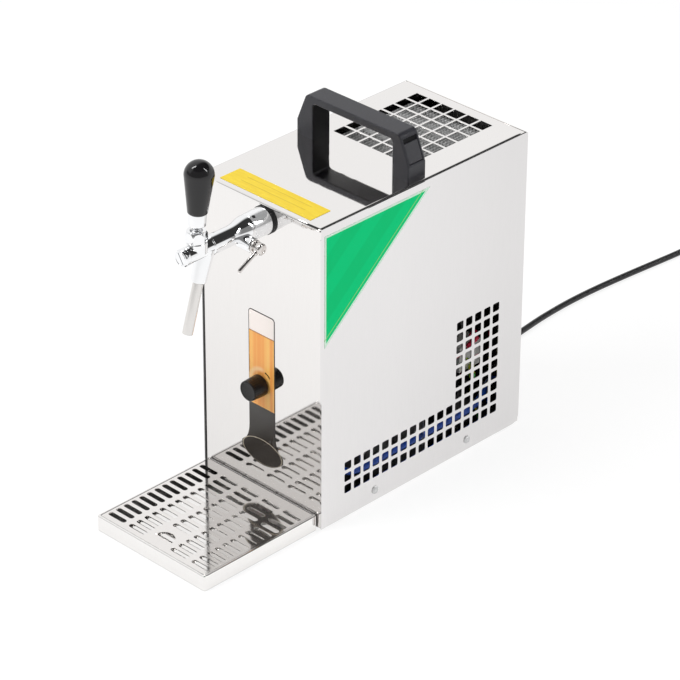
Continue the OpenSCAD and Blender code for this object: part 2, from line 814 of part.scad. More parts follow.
// Cold block with its ports, in a foam box with a lid
foam_low = shelf_z + frame_t;
suction_y = block_y1 - 22;
suction_z = 262;
capillary_y = block_y1 - 12;
capillary_z = 220;
stub_out = block_x0 - foam - 4;
module block_ports(grow) {
    translate([port_x, port_y, port_z]) cylinder(h = block_z0 - port_z + 1, r = 4.5 + grow);
    side_rod(stub_out, suction_y, suction_z, block_x0 - stub_out + 1, 3.2 + grow);
    side_rod(stub_out, capillary_y, capillary_z, block_x0 - stub_out + 1, 1.6 + grow);
}

module cold_block() color("silver") in_place() {
    block([block_x0, block_y0, block_z0], [block_x1, block_y1, block_z1]);
    block_ports(0);
}

module foam_block(z0, z1) {
    block([block_x0 - foam, block_y0 - foam, z0], [block_x1 + foam, block_y1 + foam, z1]);
}

module insulation_case() color("khaki") in_place() difference() {
    foam_block(foam_low, block_z1);
    block([block_x0, block_y0, block_z0], [block_x1, block_y1, block_z1 + 1]);
    block_ports(0.5);
    translate([sensor_x, sensor_y, shelf_z]) cylinder(h = foam + 10, r = 1.6);
}

module insulation_lid() color("khaki") in_place() difference() {
    foam_block(block_z1, block_z1 + foam);
    translate([tap_x, port_y, block_z1 - 1]) cylinder(h = foam + 2, r = 6);
}

// Beer line from the rear inlet along the right side to the cold block
hose_d = 8;
hose_points = [
    [inlet_x, rear_in - 8, inlet_z],
    [inlet_x, rear_in - 16, inlet_z],
    [inlet_x + 6, rear_in - 32, inlet_z - 1],
    [inlet_x + 14, rear_in - 50, inlet_z - 4],
    [wire_x, rear_in - 75, hose_z],
    [wire_x, frame_y + 30, hose_z],
    [wire_x, frame_y, hose_z],
    [wire_x, frame_y - 45, hose_z],
    [wire_x, port_y - 20, hose_z],
    [wire_x - 4, port_y - 42, hose_z + 5],
    [wire_x - 16, port_y - 52, hose_z + 24],
    [port_x + 8, port_y - 42, hose_z + 61],
    [port_x + 2, port_y - 16, hose_z + 97],
    [port_x, port_y - 2, port_z - 16],
    [port_x, port_y, port_z - 8],
    [port_x, port_y, port_z]
];
module beer_hose() color("dodgerblue") in_place() tube(smooth(hose_points, 3), hose_d, 8, [0.8, 0.3, 0.5]);

// Steel tube from the cold block up and forward into the tap shank
outlet_r = 4;
outlet_bend = 22;
module outlet_tube() color("silver") in_place() {
    translate([tap_x, port_y, block_z1]) cylinder(h = tap_z - outlet_bend - block_z1, r = outlet_r);
    translate([tap_x, port_y - outlet_bend, tap_z - outlet_bend]) rotate([90, 0, 90])
        rotate_extrude(angle = 90) translate([outlet_bend, 0]) circle(outlet_r);
    back_rod(tap_x, shank_in, tap_z, port_y - outlet_bend - shank_in, outlet_r);
}

// Push-in beer inlet at the rear, with the collet that releases the tube
inlet_r = 9;
collet_r = 7.5;
tube_r = 4.8;
inlet_body = 16;
collet_gap = 1.8;
collet_head = inlet_out - inlet_body - collet_gap;
module beer_inlet() color([0.2, 0.2, 0.22]) in_place() difference() {
    union() {
        back_rod(inlet_x, rear_in - 8, inlet_z, 8 + sheet + 1, inlet_r);
        back_rod(inlet_x, cabinet_d, inlet_z, 3, 14);
        back_rod(inlet_x, cabinet_d, inlet_z, inlet_body, 11);
    }
    back_rod(inlet_x, rear_in - 4, inlet_z, 2 * inlet_out, tube_r);
    back_rod(inlet_x, cabinet_d + inlet_body - 6, inlet_z, 10, collet_r + fit_gap);
}

module inlet_nut() color("silver") in_place() difference() {
    translate([inlet_x, rear_in, inlet_z]) rotate([90, 0, 0]) cylinder(h = 5, r = 14, $fn = 6);
    back_rod(inlet_x, rear_in - 6, inlet_z, 8, inlet_r + fit_gap);
}

module inlet_collet() color("gray") in_place() difference() {
    union() {
        back_rod(inlet_x, cabinet_d + inlet_body - 4, inlet_z, 4 + collet_gap, collet_r);
        back_rod(inlet_x, cabinet_d + inlet_body + collet_gap, inlet_z, collet_head, 9.5);
    }
    back_rod(inlet_x, cabinet_d, inlet_z, inlet_out + 1, tube_r + fit_gap);
}

// Hermetic compressor on rubber, with its relay box
bolt_r = 3;
plate_t = 3;
pot_edge = 22;
seam_z = 82;
module pot_profile() {
    translate([0, pot_z0]) square([pot_r - pot_edge, pot_z1 - pot_z0]);
    translate([0, pot_z0 + pot_edge]) square([pot_r, pot_z1 - pot_z0 - 2 * pot_edge]);
    for (z = [pot_z0 + pot_edge, pot_z1 - pot_edge]) translate([pot_r - pot_edge, z]) intersection() {
        circle(pot_edge);
        translate([0, -pot_edge]) square([pot_edge, 2 * pot_edge]);
    }
    translate([0, seam_z]) square([pot_r + 3, 4]);
}

pipe_top = 165;
module compressor() color([0.12, 0.12, 0.13]) in_place() {
    translate([0, comp_y, 0]) {
        rotate_extrude() pot_profile();
        difference() {
            block([-plate_x, -plate_y, pot_z0 - plate_t], [plate_x, plate_y, pot_z0]);
            for (x = [-1, 1], y = [-1, 1])
                translate([x * bolt_x, y * bolt_y, 0]) cylinder(h = 2 * pot_z0, r = bolt_r + fit_gap);
        }
        translate([-25, 0, pot_z1 - 2]) cylinder(h = pipe_top - pot_z1 + 2, r = 3.2);
        translate([25, 7, pot_z1 - 2]) cylinder(h = pipe_top - pot_z1 + 2, r = 2.7);
    }
}

module compressor_grommets() color([0.25, 0.25, 0.25]) in_place() {
    for (x = [-1, 1], y = [-1, 1]) translate([x * bolt_x, comp_y + y * bolt_y, pan_top]) difference() {
        cylinder(h = pot_z0 - plate_t - pan_top, r = 9);
        translate([0, 0, -1]) cylinder(h = pot_z0, r = bolt_r + fit_gap);
    }
}

module compressor_bolts() color("silver") in_place() {
    for (x = [-1, 1], y = [-1, 1]) translate([x * bolt_x, comp_y + y * bolt_y, 0]) {
        translate([0, 0, low - 2]) cylinder(h = 2, r = 5.5);
        translate([0, 0, low - 1]) cylinder(h = pot_z0 + 8 - low, r = bolt_r);
        translate([0, 0, pot_z0]) cylinder(h = 5, r = 5.8, $fn = 6);
    }
}

relay_y = comp_y + 3;
relay_z0 = seam_z + 4.3;
relay_z1 = 117;
module relay_box() color("gainsboro") in_place() difference() {
    block([pot_r - 8, relay_y, relay_z0], [pot_r + 16, relay_y + 32, relay_z1]);
    translate([0, comp_y, 0]) cylinder(h = 200, r = pot_r);
}

wire_d = 2.4;
wire_front = front_in + 36;
wire_run = frame_y - 16 - wire_front;
live_points = [
    [pot_r + 11, comp_y + 24, relay_z1],
    [pot_r + 11, comp_y + 24, relay_z1 + 6],
    [wire_x - 9, comp_y + 25, relay_z1 + 14],
    [wire_x - 2, comp_y + 20, relay_z1 + 11],
    [wire_x - 2, comp_y + 8, relay_z1 + 3],
    [wire_x - 1, comp_y - 10, relay_z1 - 1],
    [wire_x, frame_y + 32, wire_z + 3],
    [wire_x, frame_y + 10, wire_z],
    [wire_x, frame_y, wire_z],
    [wire_x, frame_y - 16, wire_z],
    [wire_x - 14, wire_front + 0.86 * wire_run, 117],
    [36, wire_front + 0.69 * wire_run, 126],
    [16, wire_front + 0.43 * wire_run, 138],
    [12, wire_front + 0.2 * wire_run, 146],
    [12, wire_front, 147],
    [12, front_in + 28, 147]
];
sleeve_r = 3.6;
sleeve_l = 16;
module wire_sleeve(at, ahead) {
    turn = unit(ahead - at);
    translate(at) rotate([0, acos(turn[2]), atan2(turn[1], turn[0])])
        cylinder(h = sleeve_l, r = sleeve_r, center = true);
}

module live_wire() color("red") in_place() {
    tube(smooth(live_points, 2), wire_d, 8, [0.6, 0.2, 0.77]);
    wire_sleeve((live_points[3] + live_points[4]) / 2, live_points[4]);
}

earth_points = [
    [pot_r + 16, comp_y + 14, 100],
    [pot_r + 20, comp_y + 14, 100],
    [wire_x - 3, comp_y + 14, 95],
    [wire_x - 3, comp_y + 16, 79],
    [wire_x - 9, comp_y + 21, 62],
    [wire_x - 12, comp_y + 25, 48],
    [wire_x - 9, comp_y + 30, 30],
    [wire_x - 7, comp_y + 34, 14],
    [wire_x - 7, comp_y + 34, pan_top + 4],
    [wire_x - 7, comp_y + 34, pan_top]
];
module earth_wire() color("green") in_place() {
    tube(smooth(earth_points, 2), wire_d, 8, [0.3, 1, 0]);
    wire_sleeve((earth_points[2] + earth_points[3]) / 2, earth_points[3]);
}

// Finned condenser under the grille
fin_n = 25;
fin_t = 0.6;
fin_x0 = -58;
fin_x1 = 50;
tube_n = 7;
coil_tube_r = 4;
module condenser() color("silver") in_place() {
    for (i = [0 : fin_n - 1])
        translate([fin_x0 + i * (fin_x1 - fin_x0 - fin_t) / (fin_n - 1), fin_y0, fin_z0])
            cube([fin_t, fin_y1 - fin_y0, fin_z1 - fin_z0]);
    for (k = [0 : tube_n - 1])
        side_rod(fin_x0 - 2, tube_y + k * tube_pitch, tube_z, fin_x1 - fin_x0 + 4, coil_tube_r);
    for (k = [0 : tube_n - 2]) {
        right = k % 2 == 0;
        translate([right ? fin_x1 + 2 : fin_x0 - 2, tube_y + (k + 0.5) * tube_pitch, tube_z])
            rotate([0, 0, right ? -90 : 90]) rotate_extrude(angle = 180)
                translate([tube_pitch / 2, 0]) circle(coil_tube_r);
    }
    side_rod(fin_x1 + 1, tube_y + (tube_n - 1) * tube_pitch, tube_z, 5, 2.7);
    side_rod(fin_x0 - 6, tube_y, tube_z, 5, 2.7);
}

// Shroud under the condenser, with the bar that the fan motor hangs from
shroud_t = 1.2;
fan_hole = 52;
module fan_shroud() color("silver") in_place() {
    x0 = fin_x0 - 5;
    x1 = fin_x1 + 5;
    y0 = fin_y0 - 2;
    y1 = fin_y1 + 2;
    t = shroud_t;
    difference() {
        block([x0, y0, shroud_z], [x1, y1, fin_z0]);
        block([x0 + t, y0 + t, shroud_z + t], [x1 - t, y1 - t, fin_z0 - t]);
        block([x0 + 8, y0 + 6, fin_z0 - 5], [x1 - 8, y1 - 6, fin_z0 + 5]);
        translate([fan_x, fan_y, shroud_z - 1]) cylinder(h = 5, r = fan_hole);
    }
    block([x0, fan_y - 8, motor_top], [x1, fan_y + 8, motor_top + t]);
    for (x = [x0 + 10, x1 - 30]) block([x, y1 - t, shroud_z + 10], [x + 20, rear_in, shroud_z + 20]);
}

motor_top = shroud_z + 34;
motor_h = 24;
fan_shaft = 2.5;
module fan_motor() color([0.2, 0.2, 0.2]) in_place() translate([fan_x, fan_y, 0]) {
    translate([0, 0, motor_top - motor_h]) cylinder(h = motor_h, r = 22);
    translate([0, 0, motor_top - motor_h - 16]) cylinder(h = 17, r = fan_shaft);
}

fan_r = 49;
fan_n = 5;
hub_r = 13;
hub_h = 12;
blade = [40, 20, 1.4];
blade_mid = 30;
module fan_blade() color([0.15, 0.15, 0.16]) in_place() translate([fan_x, fan_y, shroud_z]) difference() {
    intersection() {
        union() {
            translate([0, 0, -5]) cylinder(h = hub_h, r = hub_r);
            for (i = [0 : fan_n - 1]) rotate([0, 0, i * 360 / fan_n])
                translate([blade_mid, 0, 1]) rotate([30, 0, 0]) cube(blade, center = true);
        }
        translate([0, 0, -10]) cylinder(h = 30, r = fan_r);
    }
    translate([0, 0, -10]) cylinder(h = 30, r = fan_shaft + fit_gap);
}

// Refrigerant line: drier and copper pipes
drier_x = 11.5 - inner_x;
drier_y = comp_y - 38;
drier_z = top - 86;
drier_l = 70;
module filter_drier() color("peru") in_place() translate([drier_x, drier_y, drier_z]) rotate([-90, 0, 0]) {
    cylinder(h = 8, r1 = 3, r2 = 9);
    translate([0, 0, 8]) cylinder(h = drier_l - 16, r = 9);
    translate([0, 0, drier_l - 8]) cylinder(h = 8, r1 = 9, r2 = 3);
}

suction_points = [
    [stub_out, suction_y, suction_z],
    [stub_out - 4, suction_y, suction_z],
    [drier_x, suction_y + 7, suction_z],
    [drier_x - 1, suction_y + 30, suction_z - 6],
    [drier_x - 1, comp_y - 38, 236],
    [drier_x - 1, comp_y - 6, 210],
    [drier_x + 11, comp_y, 194],
    [-38, comp_y, 188],
    [-27, comp_y, pipe_top + 15],
    [-25, comp_y, pipe_top + 8],
    [-25, comp_y, pipe_top]
];
hot_y = tube_y + (tube_n - 1) * tube_pitch;
hot_x = inner_x - 12.5;
discharge_points = [
    [25, comp_y + 7, pipe_top],
    [25, comp_y + 7, pipe_top + 7],
    [31, comp_y + 10, pipe_top + 17],
    [48, comp_y + 18, pipe_top + 29],
    [hot_x - 8, comp_y + 30, pipe_top + 45],
    [hot_x, hot_y - 6, 240],
    [hot_x, hot_y, tube_z - 36],
    [hot_x - 1, hot_y, tube_z - 14],
    [hot_x - 6, hot_y, tube_z - 3],
    [(fin_x1 + hot_x) / 2, hot_y, tube_z],
    [fin_x1 + 9, hot_y, tube_z],
    [fin_x1 + 6, hot_y, tube_z]
];
liquid_points = [
    [fin_x0 - 6, tube_y, tube_z],
    [fin_x0 - 8, tube_y, tube_z],
    [fin_x0 - 11, tube_y, tube_z],
    [drier_x + 4, tube_y, tube_z - 6],
    [drier_x, tube_y + 1, tube_z - 20],
    [drier_x, drier_y - 13, drier_z + 10],
    [drier_x, drier_y - 6, drier_z + 1],
    [drier_x, drier_y, drier_z]
];
capillary_points = [
    [drier_x, drier_y + drier_l, drier_z],
    [drier_x, drier_y + drier_l + 7, drier_z],
    [drier_x, drier_y + drier_l + 18, drier_z - 8],
    [drier_x - 1, drier_y + drier_l + 22, drier_z - 30],
    [drier_x - 2, comp_y + 42, 208],
    [drier_x - 2, comp_y - 6, 182],
    [drier_x - 1, comp_y - 56, 190],
    [drier_x + 1, capillary_y + 22, capillary_z - 6],
    [drier_x + 5, capillary_y + 3, capillary_z],
    [stub_out - 3, capillary_y, capillary_z],
    [stub_out, capillary_y, capillary_z]
];
module copper_pipes() color("peru") in_place() {
    tube(smooth(suction_points, 3), 6, 8, [0.5, -0.7, 0.5]);
    tube(smooth(discharge_points, 3), 5, 8, [0.5, -0.7, 0.5]);
    tube(smooth(liquid_points, 3), 5, 8, [0.5, 0.7, 0.4]);
    tube(smooth(capillary_points, 3), 2, 8, [0.8, 0.3, 0.5]);
}

// Mains lead with its gland, coil, tie and plug
gland_r = 7;
module lead_gland() color([0.1, 0.1, 0.1]) in_place() {
    back_rod(gland_x, rear_in - 2, gland_z, 2, 9);
    back_rod(gland_x, rear_in - 1, gland_z, sheet + 2, gland_r);
    back_rod(gland_x, cabinet_d, gland_z, 4, 10);
    translate([gland_x, cabinet_d + 3, gland_z]) rotate([-90, 0, 0])
        cylinder(h = gland_tip - cabinet_d - 3, r1 = gland_r, r2 = lead_d / 2 + 0.6);
}

module mains_lead() color([0.08, 0.08, 0.08]) in_place() tube(lead_path, lead_d, 10, [0, 0, 1]);

module lead_coil() color([0.08, 0.08, 0.08]) in_place() tube(coil_path, lead_d, 6, [0, 0, 1]);

// Strap round the whole bundle at the coil's far side
tie_w = 8;
tie_t = 1;
module coil_tie() color([0.2, 0.2, 0.2]) in_place() {
    r0 = coil_r - coil_pitch * (coil_turns + 0.25) - lead_d / 2 - run_gap;
    r1 = coil_r + lead_d / 2 + run_gap;
    z1 = coil_z + layer_step + lead_d / 2 + run_gap;
    translate([coil_c[0], coil_c[1], 0]) difference() {
        block([-tie_w / 2, r0 - tie_t, 0], [tie_w / 2, r1 + tie_t, z1 + tie_t]);
        block([-tie_w, r0, tie_t], [tie_w, r1, z1]);
    }
}

// Round two-pin plug, lying beside the coil
pin_r = 2.4;
pin_gap = 19;
module mains_plug() color([0.08, 0.08, 0.08]) in_place() translate(plug_at) rotate([90, 0, 0]) {
    cylinder(h = 16, r1 = 5, r2 = 7);
    translate([0, 0, 16]) cylinder(h = 14, r1 = 9, r2 = plug_r);
    translate([0, 0, 30]) cylinder(h = 12, r = plug_r);
    for (s = [-1, 1]) translate([s * pin_gap / 2, 0, 41]) cylinder(h = 19, r = pin_r);
}

base_pan();
front_panel();
rear_panel();
top_panel();
right_side_panel();
left_side_panel();
side_screws();
feet();
inner_frame();
carry_handle();
handle_caps();
handle_screws();
dial_plate();
side_label();
top_label();
shank_gasket();
tap_shank();
shank_nut();
coupling_ring();
coupling_screw();
tap_body();
tap_end_plug();
lever_nut();
tap_lever();
lever_ferrule();
lever_knob();
valve_plunger();
plunger_seal();
spout();
compensator_lever();
compensator_cone();
thermostat();
thermostat_knob();
drip_tray();
drip_grate();
cold_block();
insulation_case();
insulation_lid();
beer_hose();
outlet_tube();
beer_inlet();
inlet_nut();
inlet_collet();
compressor();
compressor_grommets();
compressor_bolts();
relay_box();
live_wire();
earth_wire();
condenser();
fan_shroud();
fan_motor();
fan_blade();
filter_drier();
copper_pipes();
lead_gland();
mains_lead();
lead_coil();
coil_tie();
mains_plug();
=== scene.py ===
import math

import bmesh
import bpy
from mathutils import Matrix, Vector


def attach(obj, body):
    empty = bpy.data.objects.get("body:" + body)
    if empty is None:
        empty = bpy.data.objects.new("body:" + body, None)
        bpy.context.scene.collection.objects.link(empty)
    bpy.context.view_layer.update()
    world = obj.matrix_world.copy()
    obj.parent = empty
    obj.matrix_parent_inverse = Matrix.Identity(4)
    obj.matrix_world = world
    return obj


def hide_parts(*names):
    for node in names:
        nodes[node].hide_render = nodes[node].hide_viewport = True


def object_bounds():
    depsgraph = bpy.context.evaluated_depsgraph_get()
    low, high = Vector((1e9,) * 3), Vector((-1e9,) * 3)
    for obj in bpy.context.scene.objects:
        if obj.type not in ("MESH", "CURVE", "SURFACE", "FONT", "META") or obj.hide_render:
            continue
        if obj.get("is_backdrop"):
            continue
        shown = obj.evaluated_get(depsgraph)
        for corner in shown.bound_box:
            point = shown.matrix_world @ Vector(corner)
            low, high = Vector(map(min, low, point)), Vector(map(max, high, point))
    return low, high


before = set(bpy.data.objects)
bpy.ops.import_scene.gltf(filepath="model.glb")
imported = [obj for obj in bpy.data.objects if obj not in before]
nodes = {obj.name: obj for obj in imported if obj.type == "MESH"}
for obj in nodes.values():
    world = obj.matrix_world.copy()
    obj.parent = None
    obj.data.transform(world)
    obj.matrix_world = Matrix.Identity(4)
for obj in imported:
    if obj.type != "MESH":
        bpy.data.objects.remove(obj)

scene = bpy.context.scene
for stray in ("Cube", "Light", "Camera"):  # nothing of Blender's own start scene stays
    if stray in bpy.data.objects:
        bpy.data.objects.remove(bpy.data.objects[stray])
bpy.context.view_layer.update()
mm = 0.001


def nodeBox(name):  # low and high corner of a CAD node in millimetres
    spots = [v.co for v in nodes[name].data.vertices]
    return [[round(end(p[k] for p in spots) / mm, 2) for k in range(3)] for end in (min, max)]


lidLow, lidHigh = nodeBox("top_panel")
frontY = lidLow[1]  # front edge of the cabinet in the frame
roof = lidHigh[2]  # top of the cabinet above the floor


def at(x, y, z):  # millimetres from the cabinet's front edge and the floor
    return Vector((x, y + frontY, z)) * mm


print("camera")
shot = {
    "azimuth": 44.3685, "elevation": 30.2285, "roll": 0.28796,  # degrees
    "lens": 181.44, "sensor": 36, "place": (2.1799, -2.19505, 1.9642),
}
az, el, roll = (math.radians(shot[k]) for k in ("azimuth", "elevation", "roll"))
back = Vector((math.sin(az) * math.cos(el), -math.cos(az) * math.cos(el), math.sin(el)))
right = Vector((0, 0, 1)).cross(back).normalized()
up = back.cross(right)
rolledRight = right * math.cos(roll) + up * math.sin(roll)
rolledUp = up * math.cos(roll) - right * math.sin(roll)
facing = Matrix((rolledRight, rolledUp, back)).transposed()
camera = bpy.data.objects.new("camera", bpy.data.cameras.new("camera"))
camera.data.lens = shot["lens"]
camera.data.sensor_width = shot["sensor"]
camera.data.clip_start = 0.1
camera.data.clip_end = 60
camera.matrix_world = Matrix.Translation(shot["place"]) @ facing.to_4x4()
scene.collection.objects.link(camera)
scene.camera = camera


# shader nodes

def newMaterial(name):
    made = bpy.data.materials.new(name)
    made.use_nodes = True
    return made, made.node_tree, made.node_tree.nodes["Principled BSDF"]


def objectCoord(tree):
    return tree.nodes.new("ShaderNodeTexCoord").outputs["Object"]


def axisParts(tree):
    split = tree.nodes.new("ShaderNodeSeparateXYZ")
    tree.links.new(objectCoord(tree), split.inputs[0])
    return split.outputs


def noise(tree, scale, detail=3, stretch=(1, 1, 1)):
    mapping = tree.nodes.new("ShaderNodeMapping")
    mapping.inputs["Scale"].default_value = stretch
    tree.links.new(objectCoord(tree), mapping.inputs["Vector"])
    texture = tree.nodes.new("ShaderNodeTexNoise")
    texture.inputs["Scale"].default_value = scale
    texture.inputs["Detail"].default_value = detail
    tree.links.new(mapping.outputs["Vector"], texture.inputs["Vector"])
    return texture.outputs[0]


def ramp(tree, value, stops):
    node = tree.nodes.new("ShaderNodeValToRGB")
    while len(node.color_ramp.elements) < len(stops):
        node.color_ramp.elements.new(0.5)
    for element, (place, color) in zip(node.color_ramp.elements, stops):
        element.position = place
        element.color = (*color, 1)
    tree.links.new(value, node.inputs["Fac"])
    return node.outputs["Color"]


def mapRange(tree, value, low, high, toLow=0.0, toHigh=1.0, smooth=False):
    node = tree.nodes.new("ShaderNodeMapRange")
    node.interpolation_type = "SMOOTHSTEP" if smooth else "LINEAR"
    for key, number in zip(("From Min", "From Max", "To Min", "To Max"), (low, high, toLow, toHigh)):
        node.inputs[key].default_value = number
    tree.links.new(value, node.inputs["Value"])
    return node.outputs["Result"]


def soft(tree, value, low, high, toHigh=1.0):  # smooth step from low to high, or down if high is less
    return mapRange(tree, value, low, high, toHigh=toHigh, smooth=True)


def calc(tree, kind, a, b=None):
    node = tree.nodes.new("ShaderNodeMath")
    node.operation = kind
    for socket, value in zip(node.inputs, (a, b)):
        if isinstance(value, (int, float)):
            socket.default_value = value
        elif value is not None:
            tree.links.new(value, socket)
    return node.outputs[0]


def times(tree, value, *others):
    for other in others:
        value = calc(tree, "MULTIPLY", value, other)
    return value


def largest(tree, value, *others):
    for other in others:
        value = calc(tree, "MAXIMUM", value, other)
    return value


def apart(tree, value, middle):  # distance from a middle value
    return calc(tree, "ABSOLUTE", calc(tree, "SUBTRACT", value, middle))


def over(tree, value, limit):
    return calc(tree, "GREATER_THAN", value, limit)


def under(tree, value, limit):
    return calc(tree, "LESS_THAN", value, limit)


def squares(tree, a, b):
    return calc(tree, "ADD", times(tree, a, a), times(tree, b, b))


def mixColor(tree, factor, a, b):
    node = tree.nodes.new("ShaderNodeMix")
    node.data_type = "RGBA"
    tree.links.new(factor, node.inputs["Factor"])
    for socket, value in zip((node.inputs[6], node.inputs[7]), (a, b)):  # the two colour sockets
        if isinstance(value, tuple):
            socket.default_value = (*value, 1)
        else:
            tree.links.new(value, socket)
    return node.outputs[2]


def bumpFrom(tree, shader, height, distance):
    node = tree.nodes.new("ShaderNodeBump")
    node.inputs["Strength"].default_value = 1
    node.inputs["Distance"].default_value = distance
    tree.links.new(height, node.inputs["Height"])
    tree.links.new(node.outputs["Normal"], shader.inputs["Normal"])


# plain finishes

def surface(name, color, rough, metal=0.0, vary=0.05, roughVary=0.04, scale=300, stretch=(1, 1, 1),
            grain=0.0, coat=0.0, specular=0.5):
    made, tree, shader = newMaterial(name)
    field = noise(tree, scale, 4, stretch)
    deep = [c * (1 - vary) for c in color]
    pale = [min(1, c * (1 + vary)) for c in color]
    tree.links.new(ramp(tree, field, [(0.3, deep), (0.7, pale)]), shader.inputs["Base Color"])
    gloss = mapRange(tree, field, 0.3, 0.7, max(0.0, rough - roughVary), rough + roughVary)
    tree.links.new(gloss, shader.inputs["Roughness"])
    shader.inputs["Metallic"].default_value = metal
    shader.inputs["Coat Weight"].default_value = coat
    shader.inputs["Specular IOR Level"].default_value = specular
    if grain:
        bumpFrom(tree, shader, field, grain)
    return made


def mirrorSteel(name, color, rough, wave, paintedShade=()):  # painted shade given as axis, from, to, share at each
    made, tree, shader = newMaterial(name)
    fine = noise(tree, 900, 2, (1, 1, 0.04))
    tone = ramp(tree, fine, [(0.3, [c * 0.985 for c in color]), (0.7, color)])
    for axis, *ends in paintedShade:  # painted shade: darker towards the floor, towards the rear and at the bottom edges
        tone = mixColor(tree, mapRange(tree, axisParts(tree)[axis], *ends), (0, 0, 0), tone)
    tree.links.new(tone, shader.inputs["Base Color"])
    tree.links.new(mapRange(tree, fine, 0.3, 0.7, rough * 0.8, rough * 1.2), shader.inputs["Roughness"])
    shader.inputs["Metallic"].default_value = 1
    bumpFrom(tree, shader, noise(tree, 7, 1), wave)
    return made


def chromeCoat(name, color, rough, metal=1.0, roughVary=0.015):
    return surface(name, color, rough, metal, vary=0.015, roughVary=roughVary, scale=120)


def mouldedBlack(name, color, rough):  # fine-grained plastic
    return surface(name, color, rough, vary=0.12, scale=1800, grain=0.00005, specular=0.42)


# painted shade: the panels darker towards the floor
panelPaintedShade = [(2, 0.03, 0.29, 0.9, 0.975)]
# painted shade: the side panels darker towards the rear, with a painted contact shadow along their bottom
# edge
sidePaintedShade = [(1, 0.02, 0.2, 0.975, 0.91), (2, 0.0012, 0.0022, 0.8, 1.0)]
# painted contact shadow along the tray's bottom edge
trayPaintedShadow = [(2, 0.001, 0.0016, 0.8, 1.0)]
panelSteel = mirrorSteel("panelSteel", (0.87, 0.85, 0.836), 0.04, 0.00008, panelPaintedShade)
sideSteel = mirrorSteel("sideSteel", (0.8, 0.785, 0.783), 0.05, 0.00008, sidePaintedShade)
traySteel = mirrorSteel("traySteel", (0.875, 0.86, 0.845), 0.06, 0.00008, trayPaintedShadow)
grateSteel = mirrorSteel("grateSteel", (0.84, 0.815, 0.795), 0.085, 0.0001)
millSteel = surface("millSteel", (0.9, 0.89, 0.88), 0.6, vary=0.04)
# painted shade: dark finishes put on the tray's rear rim, in the dark wells and inside the joints, where
# shade falls
rimShade = surface("rimShade", (0.3, 0.29, 0.285), 0.3, metal=0.6, vary=0.1, scale=200)
wellShade = surface("wellShade", (0.1, 0.1, 0.098), 0.4, vary=0.2, scale=200)
jointShade = surface("jointShade", (0.05, 0.05, 0.05), 0.5, vary=0.2, scale=200)
plainSteel = surface("plainSteel", (0.62, 0.63, 0.64), 0.32, metal=1, scale=500, stretch=(0.1, 1, 1))
spoutSteel = surface("spoutSteel", (0.73, 0.71, 0.69), 0.1, metal=1, vary=0.03, roughVary=0.02,
                     scale=200, stretch=(1, 1, 0.05))
screwSteel = surface("screwSteel", (0.78, 0.78, 0.78), 0.5, metal=0.3, scale=400)
chrome = chromeCoat("chrome", (0.9, 0.905, 0.915), 0.045)
hubSteel = chromeCoat("hubSteel", (0.7, 0.67, 0.65), 0.06)
ringChrome = chromeCoat("ringChrome", (0.93, 0.935, 0.945), 0.07, metal=0.6, roughVary=0.02)
capPlastic = mouldedBlack("capPlastic", (0.045, 0.045, 0.051), 0.42)
blackPlastic = mouldedBlack("blackPlastic", (0.026, 0.026, 0.032), 0.38)
# painted shade for the handle's far leg and the pockets behind its caps
pocketPaintedShade = surface("pocketPaintedShade", (0.008, 0.008, 0.009), 0.6, vary=0.12, scale=1800, specular=0.2)
glossBlack = surface("glossBlack", (0.009, 0.0085, 0.0095), 0.1, vary=0.1, roughVary=0.02, scale=60)
dialBlack = surface("dialBlack", (0.008, 0.0075, 0.0078), 0.3, vary=0.15, scale=900, grain=0.00003,
                    specular=0.28)
rubber = surface("rubber", (0.022, 0.022, 0.023), 0.6, vary=0.15, scale=1500, grain=0.00004)
cordSkin = surface("cordSkin", (0.013, 0.013, 0.014), 0.38, vary=0.15, scale=900, grain=0.00003)
blackPaint = surface("blackPaint", (0.02, 0.02, 0.022), 0.34, vary=0.1, scale=200, grain=0.00004)
whitePlastic = surface("whitePlastic", (0.75, 0.75, 0.73), 0.42, scale=600, grain=0.00003)
greyPlastic = surface("greyPlastic", (0.3, 0.3, 0.31), 0.4, scale=600, grain=0.00003)
foamSkin = surface("foamSkin", (0.74, 0.66, 0.42), 0.8, vary=0.12, scale=700, grain=0.0004)
aluminium = surface("aluminium", (0.62, 0.63, 0.64), 0.3, metal=1, vary=0.08, scale=400, stretch=(1, 1, 0.08))
finMetal = surface("finMetal", (0.7, 0.7, 0.69), 0.45, metal=0.1, vary=0.75, stretch=(0.02, 1, 0.02))
copper = surface("copper", (0.78, 0.42, 0.27), 0.25, metal=1, vary=0.12, scale=250)
blueHose = surface("blueHose", (0.012, 0.085, 0.5), 0.35, coat=0.1)
redWire = surface("redWire", (0.62, 0.015, 0.06), 0.4, scale=500)


# prints

def stripedWire():
    made, tree, shader = newMaterial("earthSkin")
    wave = tree.nodes.new("ShaderNodeTexWave")
    wave.inputs["Scale"].default_value = 160
    wave.inputs["Distortion"].default_value = 1.5
    tree.links.new(objectCoord(tree), wave.inputs["Vector"])
    stripes = ramp(tree, wave.outputs["Fac"], [(0.45, (0.02, 0.3, 0.05)), (0.55, (0.75, 0.65, 0.03))])
    tree.links.new(stripes, shader.inputs["Base Color"])
    shader.inputs["Roughness"].default_value = 0.4
    return made


def finishPrint(tree, shader, color, field, rough, specular):
    tree.links.new(color, shader.inputs["Base Color"])
    tree.links.new(mapRange(tree, field, 0.3, 0.7, *rough), shader.inputs["Roughness"])
    shader.inputs["Specular IOR Level"].default_value = specular


